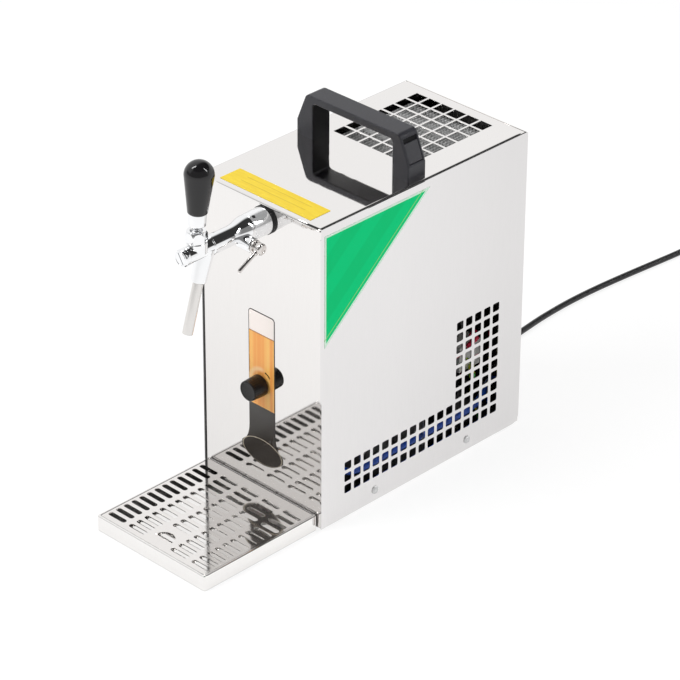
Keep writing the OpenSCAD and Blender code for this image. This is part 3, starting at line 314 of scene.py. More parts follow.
plate = {  # metres from the middle of the plate and the floor
    "darkFrom": 0.07, "darkTo": 0.115, "amberFrom": 0.1148, "paleFrom": 0.2015,
    "seam": 0.2012, "seamHalf": 0.0006,
    "cornerX": 0.015, "cornerZ": 0.2225, "outline": 0.0031, "outlineFrom": 0.09,
    "ovalZ": 0.06, "ovalWide": 0.0288, "ovalTall": 0.0147, "ovalLow": -0.016, "ovalHigh": 0.012,
    "knobZ": 0.1425, "glow": 0.0172, "glowHalf": 0.0042, "tick": 0.0162, "tickHalf": 0.0008,
    "amber": [(0.3, (0.93, 0.36, 0.09)), (0.45, (0.94, 0.4, 0.1)),
              (0.55, (0.98, 0.5, 0.13)), (0.7, (1.0, 0.56, 0.16))],
    "dark": [(0.0, (0.022, 0.016, 0.011)), (0.35, (0.034, 0.029, 0.025)), (1.0, (0.062, 0.057, 0.052))],
}


def dialPrint():  # plain bands, a thin outline and the marks of a plain dial
    made, tree, shader = newMaterial("dialPrint")
    parts = axisParts(tree)
    x, z = parts[0], parts[2]
    amber = ramp(tree, noise(tree, 70, 1, (2.4, 0.01, 0.01)), plate["amber"])
    dark = ramp(tree, mapRange(tree, z, plate["darkFrom"], plate["darkTo"]), plate["dark"])
    color = mixColor(tree, over(tree, z, plate["amberFrom"]), dark, amber)
    color = mixColor(tree, over(tree, z, plate["paleFrom"]), color, (1.0, 0.92, 0.87))
    seam = under(tree, apart(tree, z, plate["seam"]), plate["seamHalf"])
    color = mixColor(tree, seam, color, (0.4, 0.16, 0.06))
    outX = largest(tree, calc(tree, "SUBTRACT", calc(tree, "ABSOLUTE", x), plate["cornerX"]), 0.0)
    outZ = largest(tree, calc(tree, "SUBTRACT", z, plate["cornerZ"]), 0.0)
    corner = calc(tree, "SQRT", squares(tree, outX, outZ))
    edge = times(tree, over(tree, corner, plate["outline"]), over(tree, z, plate["outlineFrom"]))
    color = mixColor(tree, edge, color, (0.035, 0.03, 0.03))
    drop = calc(tree, "SUBTRACT", z, plate["ovalZ"])  # pale rim of the oval foot
    wide = calc(tree, "DIVIDE", x, plate["ovalWide"])
    tall = calc(tree, "DIVIDE", drop, plate["ovalTall"])
    rim = under(tree, apart(tree, squares(tree, wide, tall), 1.0), 0.05)
    rim = times(tree, rim, mapRange(tree, drop, plate["ovalLow"], plate["ovalHigh"], 0.25, 1.0))
    color = mixColor(tree, rim, color, (0.5, 0.44, 0.34))
    rise = calc(tree, "SUBTRACT", z, plate["knobZ"])  # marks round the knob
    reach = calc(tree, "SQRT", squares(tree, x, rise))
    angle = calc(tree, "ARCTAN2", rise, x)
    glow = soft(tree, apart(tree, reach, plate["glow"]), plate["glowHalf"], 0.0004)
    glow = times(tree, glow, soft(tree, angle, 1.1, 1.7), 0.55)
    color = mixColor(tree, glow, color, (1.0, 0.74, 0.42))
    tick = under(tree, apart(tree, reach, plate["tick"]), plate["tickHalf"])
    tick = times(tree, tick, over(tree, angle, 0.72), under(tree, angle, 1.28))
    color = mixColor(tree, tick, color, (0.02, 0.012, 0.01))
    finishPrint(tree, shader, color, noise(tree, 40), (0.2, 0.28), 0.35)
    return made


def cornerPrint():  # green field, pale border and soft slanting bands
    made, tree, shader = newMaterial("cornerPrint")
    low, high = (Vector(corner) * mm for corner in nodeBox("side_label"))
    parts = axisParts(tree)
    down = calc(tree, "SUBTRACT", high.z, parts[2])
    along = calc(tree, "SUBTRACT", parts[1], low.y)
    slope = calc(tree, "DIVIDE", along, high.y - low.y)  # 1 along the slanting side
    slope = calc(tree, "ADD", slope, calc(tree, "DIVIDE", down, high.z - low.z))
    band = mapRange(tree, calc(tree, "SINE", times(tree, slope, 16.0)), -1, 1)
    color = ramp(tree, band, [(0.4, (0.0, 0.62, 0.2)), (0.6, (0.0, 0.67, 0.225))])
    light = noise(tree, 60)
    color = mixColor(tree, mapRange(tree, light, 0.35, 0.75, 0.0, 0.1), color, (0.002, 0.74, 0.27))
    border = largest(tree, under(tree, along, 0.0022), under(tree, down, 0.0022), over(tree, slope, 0.972))
    color = mixColor(tree, border, color, (0.72, 0.94, 0.78))
    line = under(tree, apart(tree, slope, 0.93), 0.005)
    color = mixColor(tree, line, color, (0.3, 0.72, 0.2))
    finishPrint(tree, shader, color, light, (0.3, 0.4), 0.06)
    return made


strip = {"middle": -0.0595, "row": 0.0045, "lineHalf": 0.0005, "lineEnd": 0.046}


def stripPrint():  # plain yellow with two fine lines
    made, tree, shader = newMaterial("stripPrint")
    parts = axisParts(tree)
    light = noise(tree, 80, 3, (1, 4, 1))
    color = ramp(tree, light, [(0.3, (0.86, 0.62, 0.03)), (0.7, (0.93, 0.7, 0.05))])
    row = apart(tree, apart(tree, parts[1], strip["middle"]), strip["row"])
    ends = under(tree, calc(tree, "ABSOLUTE", parts[0]), strip["lineEnd"])
    line = times(tree, under(tree, row, strip["lineHalf"]), ends, 0.45)
    color = mixColor(tree, line, color, (0.45, 0.3, 0.02))
    finishPrint(tree, shader, color, light, (0.3, 0.4), 0.2)
    return made


# making pieces

def fillet(points, closed=False, steps=5):  # (a, b, radius) corners to a rounded outline
    made = []
    count = len(points)
    for i, (a, b, radius) in enumerate(points):
        here = Vector((a, b))
        if radius <= 0 or (not closed and i in (0, count - 1)):
            made.append((a, b))
            continue
        before = (Vector(points[i - 1][:2]) - here).normalized()
        after = (Vector(points[(i + 1) % count][:2]) - here).normalized()
        half = before.angle(after) / 2
        reach = radius / math.tan(half)
        centre = here + (before + after).normalized() * (radius / math.sin(half))
        start, end = here + before * reach - centre, here + after * reach - centre
        sweep = start.angle_signed(end)
        for k in range(steps + 1):
            cos, sin = math.cos(-sweep * k / steps), math.sin(-sweep * k / steps)
            spun = Vector((start.x * cos - start.y * sin, start.x * sin + start.y * cos))
            made.append(tuple(centre + spun))
    return made


def rod(radius, low, high, edge=0.0):  # outline of a plain round bar
    return fillet([(0, low, 0), (radius, low, 0), (radius, high, edge), (0, high, 0)])


def lathe(bm, profile, place, closed=False, steps=64):  # (radius, height) in millimetres
    verts = [bm.verts.new((r * mm, 0, h * mm)) for r, h in profile]
    pairs = list(zip(verts, verts[1:])) + ([(verts[-1], verts[0])] if closed else [])
    edges = [bm.edges.new(pair) for pair in pairs]
    had = set(bm.verts) - set(verts)
    bmesh.ops.spin(bm, geom=verts + edges, cent=(0, 0, 0), axis=(0, 0, 1), angle=2 * math.pi, steps=steps,
                   use_merge=True)
    fresh = [v for v in bm.verts if v not in had]
    bmesh.ops.remove_doubles(bm, verts=fresh, dist=1e-6)
    fresh = [v for v in bm.verts if v not in had]
    bmesh.ops.transform(bm, matrix=place, verts=fresh)
    bmesh.ops.recalc_face_normals(bm, faces=list({f for v in fresh for f in v.link_faces}))


def turned(profile, place, closed=False, steps=96):
    bm = bmesh.new()
    lathe(bm, profile, place, closed, steps)
    return bm


def pull(bm, made, move):  # moves what an extrude has made
    bmesh.ops.translate(bm, vec=move, verts=[v for v in made["geom"] if isinstance(v, bmesh.types.BMVert)])
    bmesh.ops.recalc_face_normals(bm, faces=bm.faces)


def roundOff(bm, edges, width):
    bmesh.ops.bevel(bm, geom=edges, offset=width * mm, offset_type="OFFSET", segments=3, profile=0.5,
                    affect="EDGES", material=-1)


def dress(name, mesh, material, body, replaced, angle=32):
    mesh.materials.clear()
    mesh.materials.append(material)
    mesh.polygons.foreach_set("use_smooth", [True] * len(mesh.polygons))
    mesh.set_sharp_from_angle(angle=math.radians(angle))
    piece = bpy.data.objects.new(name, mesh)
    scene.collection.objects.link(piece)
    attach(piece, body)
    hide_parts(*replaced)
    return piece


def addPiece(name, bm, material, body, replaced, angle=32):
    mesh = bpy.data.meshes.new(name)
    bm.to_mesh(mesh)
    bm.free()
    return dress(name, mesh, material, body, replaced, angle)


def repaint(mesh, material, picks):  # another finish on the faces that picks chooses
    mesh.materials.append(material)
    for face in mesh.polygons:
        if picks(face):
            face.material_index = len(mesh.materials) - 1


def flatNormals(piece):  # large faces keep their own direction beside rounded edges
    weighted = piece.modifiers.new("normals", "WEIGHTED_NORMAL")
    weighted.keep_sharp = True
    weighted.weight = 100


def thicken(piece, wall, offset):
    sheet = piece.modifiers.new("thick", "SOLIDIFY")
    sheet.thickness = wall * mm
    sheet.offset = offset


def softEdges(piece, width, segments, angle=32):
    weld = piece.modifiers.new("weld", "WELD")
    weld.merge_threshold = 0.002 * mm
    bevel = piece.modifiers.new("bevel", "BEVEL")
    bevel.width = width * mm
    bevel.segments = segments
    bevel.limit_method = "ANGLE"
    bevel.angle_limit = math.radians(angle)
    bevel.profile = 0.5
    if piece.name in nodes:
        piece.data.polygons.foreach_set("use_smooth", [True] * len(piece.data.polygons))
    flatNormals(piece)


def outerRims(piece, angle, shows):  # only the edges that show are rounded
    bm = bmesh.new()
    bm.from_mesh(piece.data)
    bmesh.ops.remove_doubles(bm, verts=bm.verts, dist=0.002 * mm)
    weight = bm.edges.layers.float.new("bevel_weight_edge")
    for edge in bm.edges:
        sharp = edge.is_manifold and edge.calc_face_angle() > math.radians(angle)
        if sharp and shows((edge.verts[0].co + edge.verts[1].co) / 2):
            edge[weight] = 1.0
    bm.to_mesh(piece.data)
    bm.free()
    piece.modifiers["bevel"].limit_method = "WEIGHT"


def carve(base, adds, cuts):  # join and cut closed bodies, all given as bmesh
    made = []
    for bm in [base] + adds + cuts:
        mesh = bpy.data.meshes.new("carve")
        bm.to_mesh(mesh)
        bm.free()
        made.append(bpy.data.objects.new("carve", mesh))
        scene.collection.objects.link(made[-1])
    for i, other in enumerate(made[1:]):
        step = made[0].modifiers.new("step", "BOOLEAN")
        step.operation = "UNION" if i < len(adds) else "DIFFERENCE"
        step.solver = "EXACT"
        step.object = other
    bpy.context.view_layer.update()
    mesh = bpy.data.meshes.new_from_object(made[0].evaluated_get(bpy.context.evaluated_depsgraph_get()))
    for body in made:
        old = body.data
        bpy.data.objects.remove(body)
        bpy.data.meshes.remove(old)
    return mesh


def smoothPath(points, steps):  # a curve through all the points
    made = []
    for i in range(len(points) - 1):
        a, b = points[max(i - 1, 0)], points[i]
        c, d = points[i + 1], points[min(i + 2, len(points) - 1)]
        for k in range(steps):
            t = k / steps
            square = (2 * a - 5 * b + 4 * c - d) * t * t
            cube = (3 * b - a - 3 * c + d) * t ** 3
            made.append(0.5 * (2 * b + (c - a) * t + square + cube))
    return made + [points[-1]]


def curveTube(name, points, diameter, material):
    curve = bpy.data.curves.new(name, "CURVE")
    curve.dimensions = "3D"
    curve.bevel_depth = diameter * mm / 2
    curve.bevel_resolution = 4
    curve.use_fill_caps = True
    spline = curve.splines.new("POLY")
    spline.points.add(len(points) - 1)
    for point, place in zip(spline.points, points):
        point.co = (*place, 1)
    spline.use_smooth = True
    curve.materials.append(material)
    tube = bpy.data.objects.new(name, curve)
    scene.collection.objects.link(tube)
    return tube


print("mains lead")
lead = {
    "route": [
        (-40, 345, 36), (-40, 358, 36), (-40, 370.5, 33.8), (-39.5, 383, 27.9), (-38.8, 395.5, 19.8),
        (-38, 408, 11.7), (-37.7, 420.5, 5.8), (-38.4, 434, 3.6), (-41, 460, 3.5), (-44.6, 495, 3.5),
        (-46.5, 540, 3.5), (-45, 590, 3.5), (-40, 650, 3.5), (-32.5, 725, 3.5), (-30, 765, 4.8),
        (-30, 790, 4.8)],
    "diameter": 7, "coil": (16.5, 797), "radius": 46.5, "pitch": 7.6, "turns": 5.5, "level": 4.8,
    "steps": 48, "run": 50, "plug": (63, 740, 18.5),
}
coilX, coilY = lead["coil"]
plugX, plugY, plugZ = lead["plug"]


def coilPoint(t):  # t turns along: inwards below, outwards again on top
    radius = lead["radius"] - lead["pitch"] * min(t, lead["turns"] - t)
    angle = math.pi - 2 * math.pi * t
    climb = min(max((t - 2.5) / 0.5, 0), 1)
    rise = lead["level"] + lead["pitch"] * (1 - math.cos(math.pi * climb)) / 2
    return at(coilX + radius * math.cos(angle), coilY + radius * math.sin(angle), rise)


leadPath = smoothPath([at(*p) for p in lead["route"]], 5)
leadPath.append(at(coilX - lead["radius"], coilY - 2.8, lead["level"]))
leadPath += [coilPoint(i / lead["steps"]) for i in range(round(lead["turns"] * lead["steps"]) + 1)]
coilTop = lead["level"] + lead["pitch"]
for k in range(1, 13):  # from the coil up to the plug
    rise = (plugZ - coilTop) * (1 - math.cos(math.pi * k / 12)) / 2
    leadPath.append(at(plugX, coilY - lead["run"] * k / 12, coilTop + rise))
leadPath.append(at(*lead["plug"]))
mainsLead = curveTube("mainsLead", leadPath, lead["diameter"], cordSkin)
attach(mainsLead, "cabinet")
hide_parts("mains_lead", "lead_coil")

gland = {"place": (-40, 305, 36), "bore": 3.3, "ribs": 6, "root": 7.0, "tip": 4.1, "from": 4, "to": 40}
profile = [(gland["bore"], -3), (9, -3), (9, -1), (gland["root"], -1), (gland["root"], 0)]
profile += [(9.4, 0), (10, 0.6), (10, 3.4), (9.4, 4), (gland["root"], 4)]
ribStep = (gland["to"] - gland["from"]) / gland["ribs"]
for k in range(gland["ribs"]):  # ribs of the bend guard, inside the cone of its tip
    low, high = gland["from"] + ribStep * k, gland["from"] + ribStep * (k + 1)
    outer = gland["root"] - (gland["root"] - gland["tip"]) * (k + 1) / gland["ribs"]
    groove = max(outer - 0.9, 3.9)
    profile += [(outer + 0.05, low + 0.6), (outer, high - 2.2), (outer - 0.25, high - 1.8)]
    profile += [(groove, high - 1.6), (groove, high - 0.1)]
profile += [(4.0, gland["to"]), (gland["bore"], gland["to"])]
glandPlace = Matrix.Translation(at(*gland["place"])) @ Matrix.Rotation(-math.pi / 2, 4, "X")
bm = turned(profile, glandPlace, closed=True, steps=32)
leadGland = addPiece("leadGland", bm, rubber, "cabinet", ["lead_gland"])

plug = {
    "pins": 19, "pinRadius": 2.4, "pinFrom": 40, "pinTo": 60, "face": 42, "radius": 18.4,
    "ribs": 4, "ribPitch": 4, "ribGrowth": 0.5,
    "rib": [(4.6, 0.2), (5.0, 0.6), (5.0, 2.6), (4.2, 2.9), (4.2, 3.9)],
}
profile = [(0, 0)]
for k in range(plug["ribs"]):
    profile += [(r + plug["ribGrowth"] * k, h + plug["ribPitch"] * k) for r, h in plug["rib"]]
profile += fillet([(6.2, 16, 0), (9, 16, 0.8), (13.5, 21, 4), (plug["radius"], 29.5, 5),
                   (plug["radius"], plug["face"], 1.2), (0, plug["face"], 0)])
plugPlace = Matrix.Translation(at(*lead["plug"])) @ Matrix.Rotation(math.pi / 2, 4, "X")
bm = turned(profile, plugPlace, steps=48)
for side in (-1, 1):
    pinPlace = plugPlace @ Matrix.Translation((side * plug["pins"] / 2 * mm, 0, 0))
    lathe(bm, rod(plug["pinRadius"], plug["pinFrom"], plug["pinTo"], 1.6), pinPlace, steps=20)
mainsPlug = addPiece("mainsPlug", bm, rubber, "cabinet", ["mains_plug"])
plugFace = at(0, plugY - plug["face"] - 0.1, 0).y
repaint(mainsPlug.data, chrome, lambda face: face.center.y < plugFace)  # the two pins are bare metal

tie = {"near": 21.8, "far": 50.3, "low": 1, "high": 16.2, "corner": 3, "wide": 8, "thick": 0.9}
sides = (("near", "low"), ("far", "low"), ("far", "high"), ("near", "high"))
bm = bmesh.new()
loop = fillet([(tie[a], tie[b], tie["corner"]) for a, b in sides], closed=True)
ring = [bm.verts.new(at(coilX - tie["wide"] / 2, coilY + a, b)) for a, b in loop]
edges = [bm.edges.new((ring[i - 1], ring[i])) for i in range(len(ring))]
pull(bm, bmesh.ops.extrude_edge_only(bm, edges=edges), (tie["wide"] * mm, 0, 0))
coilTie = addPiece("coilTie", bm, blackPlastic, "cabinet", ["coil_tie"], angle=50)
thicken(coilTie, tie["thick"], 0)


print("cabinet sheet")
lid = {
    "over": 1.0, "lip": 3.2, "bend": 2.5, "tightBend": 0.2, "sheet": 0.8,  # over: into the left joint
    "hole": 16, "pitch": 18.5, "cols": 6, "rows": 7, "holeLeft": -49.25, "holeRear": 282,
}
lidLeft, lidRight, lidBack = lidLow[0] - lid["over"], lidHigh[0], lidHigh[1] - frontY
holesX = [lid["holeLeft"] + i * lid["pitch"] for i in range(lid["cols"])]
holesY = [lid["holeRear"] - j * lid["pitch"] for j in range(lid["rows"])]


def onPlan(place):  # x and y in millimetres from the cabinet's front edge
    return place.x / mm, place.y / mm - frontY


def inHole(face):
    x, y = onPlan(face.calc_center_median())
    inCol = any(abs(x - middle) < lid["hole"] / 2 for middle in holesX)
    return inCol and any(abs(y - middle) < lid["hole"] / 2 for middle in holesY)


def onRim(a, b):  # an edge of the sheet's outline, from its two ends
    x, y = onPlan((a + b) / 2)
    return x < lidLeft + 0.01 or x > lidRight - 0.01 or y < 0.01 or y > lidBack - 0.01


def cutLine(bm, place, across):
    bmesh.ops.bisect_plane(bm, geom=bm.verts[:] + bm.edges[:] + bm.faces[:], plane_co=place, plane_no=across)


bm = bmesh.new()
corners = [(lidLeft, 0), (lidRight, 0), (lidRight, lidBack), (lidLeft, lidBack)]
bm.faces.new([bm.verts.new(at(x, y, roof)) for x, y in corners])
for side in (-lid["hole"] / 2, lid["hole"] / 2):
    for middle in holesX:
        cutLine(bm, at(middle + side, 0, 0), (1, 0, 0))
    for middle in holesY:
        cutLine(bm, at(0, middle + side, 0), (0, 1, 0))
bmesh.ops.delete(bm, geom=[f for f in bm.faces if inHole(f)], context="FACES")
rim = [e for e in bm.edges if e.is_boundary and onRim(e.verts[0].co, e.verts[1].co)]
pull(bm, bmesh.ops.extrude_edge_only(bm, edges=rim), (0, 0, -lid["lip"] * mm))
if sum(f.normal.z * f.calc_area() for f in bm.faces) < 0:
    bmesh.ops.reverse_faces(bm, faces=bm.faces)
topPanel = addPiece("topPanel", bm, panelSteel, "cabinet", ["top_panel"], angle=40)
repaint(topPanel.data, jointShade, lambda face: abs(face.normal.x) > 0.95)  # lips inside the joints
weights = topPanel.data.attributes.new("bevel_weight_edge", "FLOAT", "EDGE")
for edge in topPanel.data.edges:  # a tight bend on the left, wider ones on the other sides
    a, b = [topPanel.data.vertices[i].co for i in edge.vertices]
    if all(abs(v.z - roof * mm) < 1e-6 for v in (a, b)) and onRim(a, b):
        onLeft = (a.x + b.x) / 2 / mm < lidLeft + 0.01
        weights.data[edge.index].value = lid["tightBend"] if onLeft else 1.0
bend = topPanel.modifiers.new("bend", "BEVEL")
bend.width = lid["bend"] * mm
bend.segments = 6
bend.limit_method = "WEIGHT"
thicken(topPanel, lid["sheet"], -1)
flatNormals(topPanel)


print("carrying handle")
handle = {"lean": 13.5, "side": 16.5, "foot": 23.5, "grip": 8.5, "corner": 4, "shoulder": 7, "edge": 1.5,
          "pocketRim": 1.6, "pocketWall": 1.1, "pocket": 2.4}
handleLow, handleHigh = nodeBox("carry_handle")
long, deep, high = (b - a for a, b in zip(handleLow, handleHigh))
half = long / 2
inner = half - handle["foot"]
rightHalf = [
    (half - handle["lean"], high, handle["shoulder"]), (half, handle["side"], handle["corner"]), (half, 0, 0),
    (inner, 0, 0), (inner, high - handle["grip"], handle["corner"]),
]
outline = fillet(rightHalf + [(-a, b, radius) for a, b, radius in rightHalf[::-1]], closed=True)
handlePlace = Vector(((handleLow[0] + handleHigh[0]) / 2, (handleLow[1] + handleHigh[1]) / 2, roof)) * mm
bm = bmesh.new()
face = bm.faces.new([bm.verts.new((a * mm, -deep / 2 * mm, b * mm)) for a, b in outline])
pull(bm, bmesh.ops.extrude_face_region(bm, geom=[face]), (0, deep * mm, 0))


def faceRim(edge):  # round the two flat faces, not along the foot
    flat = abs(edge.verts[0].co.y - edge.verts[1].co.y) < 1e-7
    return flat and max(v.co.z for v in edge.verts) > 1e-5


roundOff(bm, [e for e in bm.edges if faceRim(e)], handle["edge"])
bm.normal_update()
leaning = [f for f in bm.faces if abs(f.normal.x) > 0.8 and 0.2 < f.normal.z < 0.5]
leaning = sorted(leaning, key=lambda f: -f.calc_area())[:2]
capFaces = [(f.calc_center_median().copy(), f.normal.copy()) for f in leaning]
bmesh.ops.inset_individual(bm, faces=leaning, thickness=handle["pocketRim"] * mm)
bmesh.ops.inset_individual(bm, faces=leaning, thickness=handle["pocketWall"] * mm,
                           depth=-handle["pocket"] * mm)
bmesh.ops.translate(bm, vec=handlePlace, verts=bm.verts)
carryHandle = addPiece("carryHandle", bm, blackPlastic, "cabinet", ["carry_handle"],
                       angle=40)


def inShade(face):  # painted shade on the inside of the far leg and in the pockets behind the caps
    spot = face.center - handlePlace
    sunk = any(face.normal.dot(n) > 0.99 and (spot - c).dot(n) < -2 * mm for c, n in capFaces)
    return sunk or (face.normal.x > 0.9 and abs(spot.x / mm + inner) < 0.5)


repaint(carryHandle.data, pocketPaintedShade, inShade)
flatNormals(carryHandle)

cap = {"long": 21.6, "wide": 19.4, "thick": 2.0, "edge": 0.6, "down": 2.3, "sunk": 0.35}
bm = bmesh.new()
for centre, normal in capFaces:
    slope = Vector((-normal.z * (1 if normal.x > 0 else -1), 0, abs(normal.x)))  # up the leaning end
    turn = Matrix((slope, normal.cross(slope), normal)).transposed().to_4x4()
    spot = handlePlace + centre - slope * cap["down"] * mm - normal * (cap["thick"] / 2 + cap["sunk"]) * mm
    size = Matrix.Diagonal((cap["long"] * mm, cap["wide"] * mm, cap["thick"] * mm, 1))
    bmesh.ops.create_cube(bm, size=1, matrix=Matrix.Translation(spot) @ turn @ size)
roundOff(bm, bm.edges[:], cap["edge"])
bmesh.ops.recalc_face_normals(bm, faces=bm.faces)
flatNormals(addPiece("handleCaps", bm, capPlastic, "cabinet", ["handle_caps"], angle=40))


print("tap")
tap = {
    "x": 6, "z": 337.5, "lever": 93, "pivot": 18, "lean": -4.5,  # the lever's place and rest angle
    "spout": 81, "spoutTurn": 163, "side": 36, "sideDrop": 7.3, "pinTurn": -62, "screw": 20, "screwTurn": 67,
}


def tapSpot(ahead, rise=0.0):  # on the tap's line, ahead of the cabinet
    return Matrix.Translation(at(tap["x"], -ahead, tap["z"] + rise))


def turnBy(degrees, axis):
    return Matrix.Rotation(math.radians(degrees), 4, axis)


def further(distance):
    return Matrix.Translation((0, 0, distance * mm))


tapPlace = tapSpot(0) @ turnBy(90, "X")
leverPlace = tapSpot(tap["lever"], tap["pivot"]) @ turnBy(tap["lean"], "X")
bossPlace = tapSpot(tap["lever"])
spoutPlace = tapSpot(tap["spout"]) @ turnBy(tap["spoutTurn"], "X")
sidePlace = tapSpot(tap["side"], -tap["sideDrop"]) @ turnBy(90, "Y")

knob = {"low": 24.4, "lowRadius": 10.2, "radius": 15.5, "long": 56.5, "edge": 1.4}
domeAt = knob["low"] + knob["long"] - knob["radius"]
profile = fillet([
    (0, knob["low"], 0), (knob["lowRadius"], knob["low"], knob["edge"]), (knob["radius"], domeAt, 0)])
for k in range(1, 18):  # round dome
    angle = k * math.pi / 36
    profile.append((knob["radius"] * math.cos(angle), domeAt + knob["radius"] * math.sin(angle)))
profile.append((0, domeAt + knob["radius"]))
bm = turned(profile, leverPlace, steps=72)
addPiece("leverKnob", bm, glossBlack, "lever", ["lever_knob"])

ferrule = {"low": 9.2, "high": 24.4, "radius": 9.2, "lowRadius": 5.5, "cone": 2.5, "bore": 3.05}
profile = fillet([
    (ferrule["bore"], ferrule["low"], 0), (ferrule["lowRadius"], ferrule["low"], 0.4),
    (ferrule["radius"], ferrule["low"] + ferrule["cone"], 1.2), (ferrule["radius"], ferrule["high"], 0.5),
    (ferrule["bore"], ferrule["high"], 0)])
bm = turned(profile, leverPlace, closed=True, steps=72)
addPiece("leverFerrule", bm, chrome, "lever", ["lever_ferrule"])

tapShape = {
    "seat": (10, 7.2, 25.1),  # radius, from, to
    "bell": [(14.6, 25), (14.35, 29), (13.5, 33), (12.3, 37), (11.3, 41), (10.75, 45), (10.5, 50)],
    "neck": (10.5, 55, 76), "barrel": (9.5, 76.9, 109), "step": 0.6, "edge": 0.7,
    "boss": (11, 0.2, 12, 1.0), "bossBore": (7.5, 0.3, 14),  # under the lever
    "socket": (10.2, 8.2, 36.5), "socketBore": (4, 5.35, 22.5, 40),  # round the spout
    "sideBoss": (8, 0.1, 22.5, 1.0), "sideBore": (4.3, 0.1, 30),  # round the compensator
    "bore": [(4.5, 5, 48), (6.8, 48, 64), (4.5, 64, 76), (6.8, 76, 101), (7.2, 101, 112)],
}
seat, seatFrom, seatTo = tapShape["seat"]
neck, neckFrom, neckTo = tapShape["neck"]
barrel, barrelFrom, barrelTo = tapShape["barrel"]
bell = [(p.x, p.y) for p in smoothPath([Vector(q) for q in tapShape["bell"]], 4)]
profile = [(0, seatFrom), (seat, seatFrom), (seat, seatTo), (14.3, seatTo)] + bell[1:]
profile += fillet([
    (neck, neckFrom, 0), (neck, neckTo, tapShape["step"]), (barrel, barrelFrom, tapShape["step"]),
    (barrel, barrelTo, 0.3), (0, barrelTo, 0)])
top, end, long = tapShape["socket"]
socket = fillet([(0, 0.2, 0), (top, 0.2, 0), (end, long, 0.9), (0, long, 0)])
line, tube, tubeFrom, past = tapShape["socketBore"]
socketBore = [(0, 0.1), (line, 0.1), (line, tubeFrom), (tube, tubeFrom), (tube, past), (0, past)]
bore = [(radius, h) for radius, *ends in tapShape["bore"] for h in ends]
bore = [(0, bore[0][1])] + bore + [(0, bore[-1][1])]
adds = [
    turned(rod(*tapShape["boss"]), bossPlace),
    turned(socket, spoutPlace),
    turned(rod(*tapShape["sideBoss"]), sidePlace),
]
holes = [
    turned(rod(*tapShape["bossBore"]), bossPlace),
    turned(socketBore, spoutPlace),
    turned(rod(*tapShape["sideBore"]), sidePlace),
]
hollow = bmesh.new()
hollow.from_mesh(carve(turned(bore, tapPlace), holes, []))  # all bores as one body, cut once
bodyMesh = carve(turned(profile, tapPlace), adds, [hollow])
tapBody = dress("tapBody", bodyMesh, chrome, "cabinet", ["tap_body"])
softEdges(tapBody, tapShape["edge"], 3)


def offBore(place):
    return math.hypot(place.x / mm - tap["x"], place.z / mm - tap["z"]) > 7.6


outerRims(tapBody, 38, offBore)

ringProfile = fillet([(10.1, 2, 0), (15, 2, 0.5), (15, 11, 9), (14.35, 24.9, 1.0), (10.1, 25, 0)])
screwPlace = tapPlace @ further(tap["screw"]) @ turnBy(tap["screwTurn"], "Z") @ turnBy(90, "Y")
screwHole = turned(rod(2.1, 8, 20), screwPlace, steps=32)
ringMesh = carve(turned(ringProfile, tapPlace, closed=True), [], [screwHole])
dress("couplingRing", ringMesh, ringChrome, "cabinet", ["coupling_ring"])

endPlug = {"face": 115, "slot": (1.6, 13, 1.6), "slotTurn": 32}
face = endPlug["face"]
profile = fillet([
    (0, 102, 0), (7.1, 102, 0), (7.1, barrelTo, 0), (barrel, barrelTo, 0.3), (barrel, face - 1.6, 0.6),
    (8.3, face, 0.6), (7.4, face, 0.15), (7.2, face - 0.4, 0.15), (6.9, face - 0.4, 0.15), (6.7, face, 0.15),
    (0, face, 0)])
slotSize = Matrix.Diagonal((*[side * mm for side in endPlug["slot"]], 1))
slotPlace = tapPlace @ further(face) @ turnBy(endPlug["slotTurn"], "Z")
slot = bmesh.new()
bmesh.ops.create_cube(slot, size=1, matrix=slotPlace @ slotSize)
plugMesh = carve(turned(profile, tapPlace), [], [slot])
dress("tapEndPlug", plugMesh, chrome, "cabinet", ["tap_end_plug"])

spout = {"bore": 4.5, "radius": 5.5, "seat": 5.3, "from": 22.5, "clear": 37.5, "to": 92}
profile = fillet([
    (spout["bore"], spout["from"], 0), (spout["seat"], spout["from"], 0.2),
    (spout["seat"], spout["clear"], 0), (spout["radius"], spout["clear"] + 0.1, 0),
    (spout["radius"], spout["to"], 0.45), (spout["bore"], spout["to"], 0.3)], closed=True)
bm = turned(profile, spoutPlace, closed=True, steps=64)
addPiece("spoutTube", bm, spoutSteel, "cabinet", ["spout"])

sideLever = {"stem": 4, "nut": 7, "hub": 6.2, "pin": 2.2, "tip": 2.3, "collar": 2.9, "reach": 33, "pinAt": 30}
profile = fillet([
    (0, 6, 0), (sideLever["stem"], 6, 0), (sideLever["stem"], 22.8, 0), (sideLever["nut"], 22.8, 0.7),
    (sideLever["nut"], 25.8, 0.9), (4.6, 26.2, 0.5), (4.9, 27, 0.8), (sideLever["hub"], 28.4, 1.2),
    (sideLever["hub"], 34.6, 2.2), (2.8, 35.4, 0.4), (2.4, 34.9, 0.2), (0, 34.9, 0)])
bm = turned(profile, sidePlace, steps=48)
profile = fillet([
    (0, 4, 0), (sideLever["collar"], 4, 0), (sideLever["collar"], 7.6, 0.6), (sideLever["pin"], 8.6, 0.5),
    (sideLever["tip"], sideLever["reach"], 1.8), (0, sideLever["reach"], 0)])
pinPlace = sidePlace @ further(sideLever["pinAt"]) @ turnBy(tap["pinTurn"], "Z") @ turnBy(90, "Y")
lathe(bm, profile, pinPlace, steps=32)
addPiece("compensatorLever", bm, hubSteel, "compensator", ["compensator_lever"])
softEdges(nodes["lever_nut"], 0.6, 3)


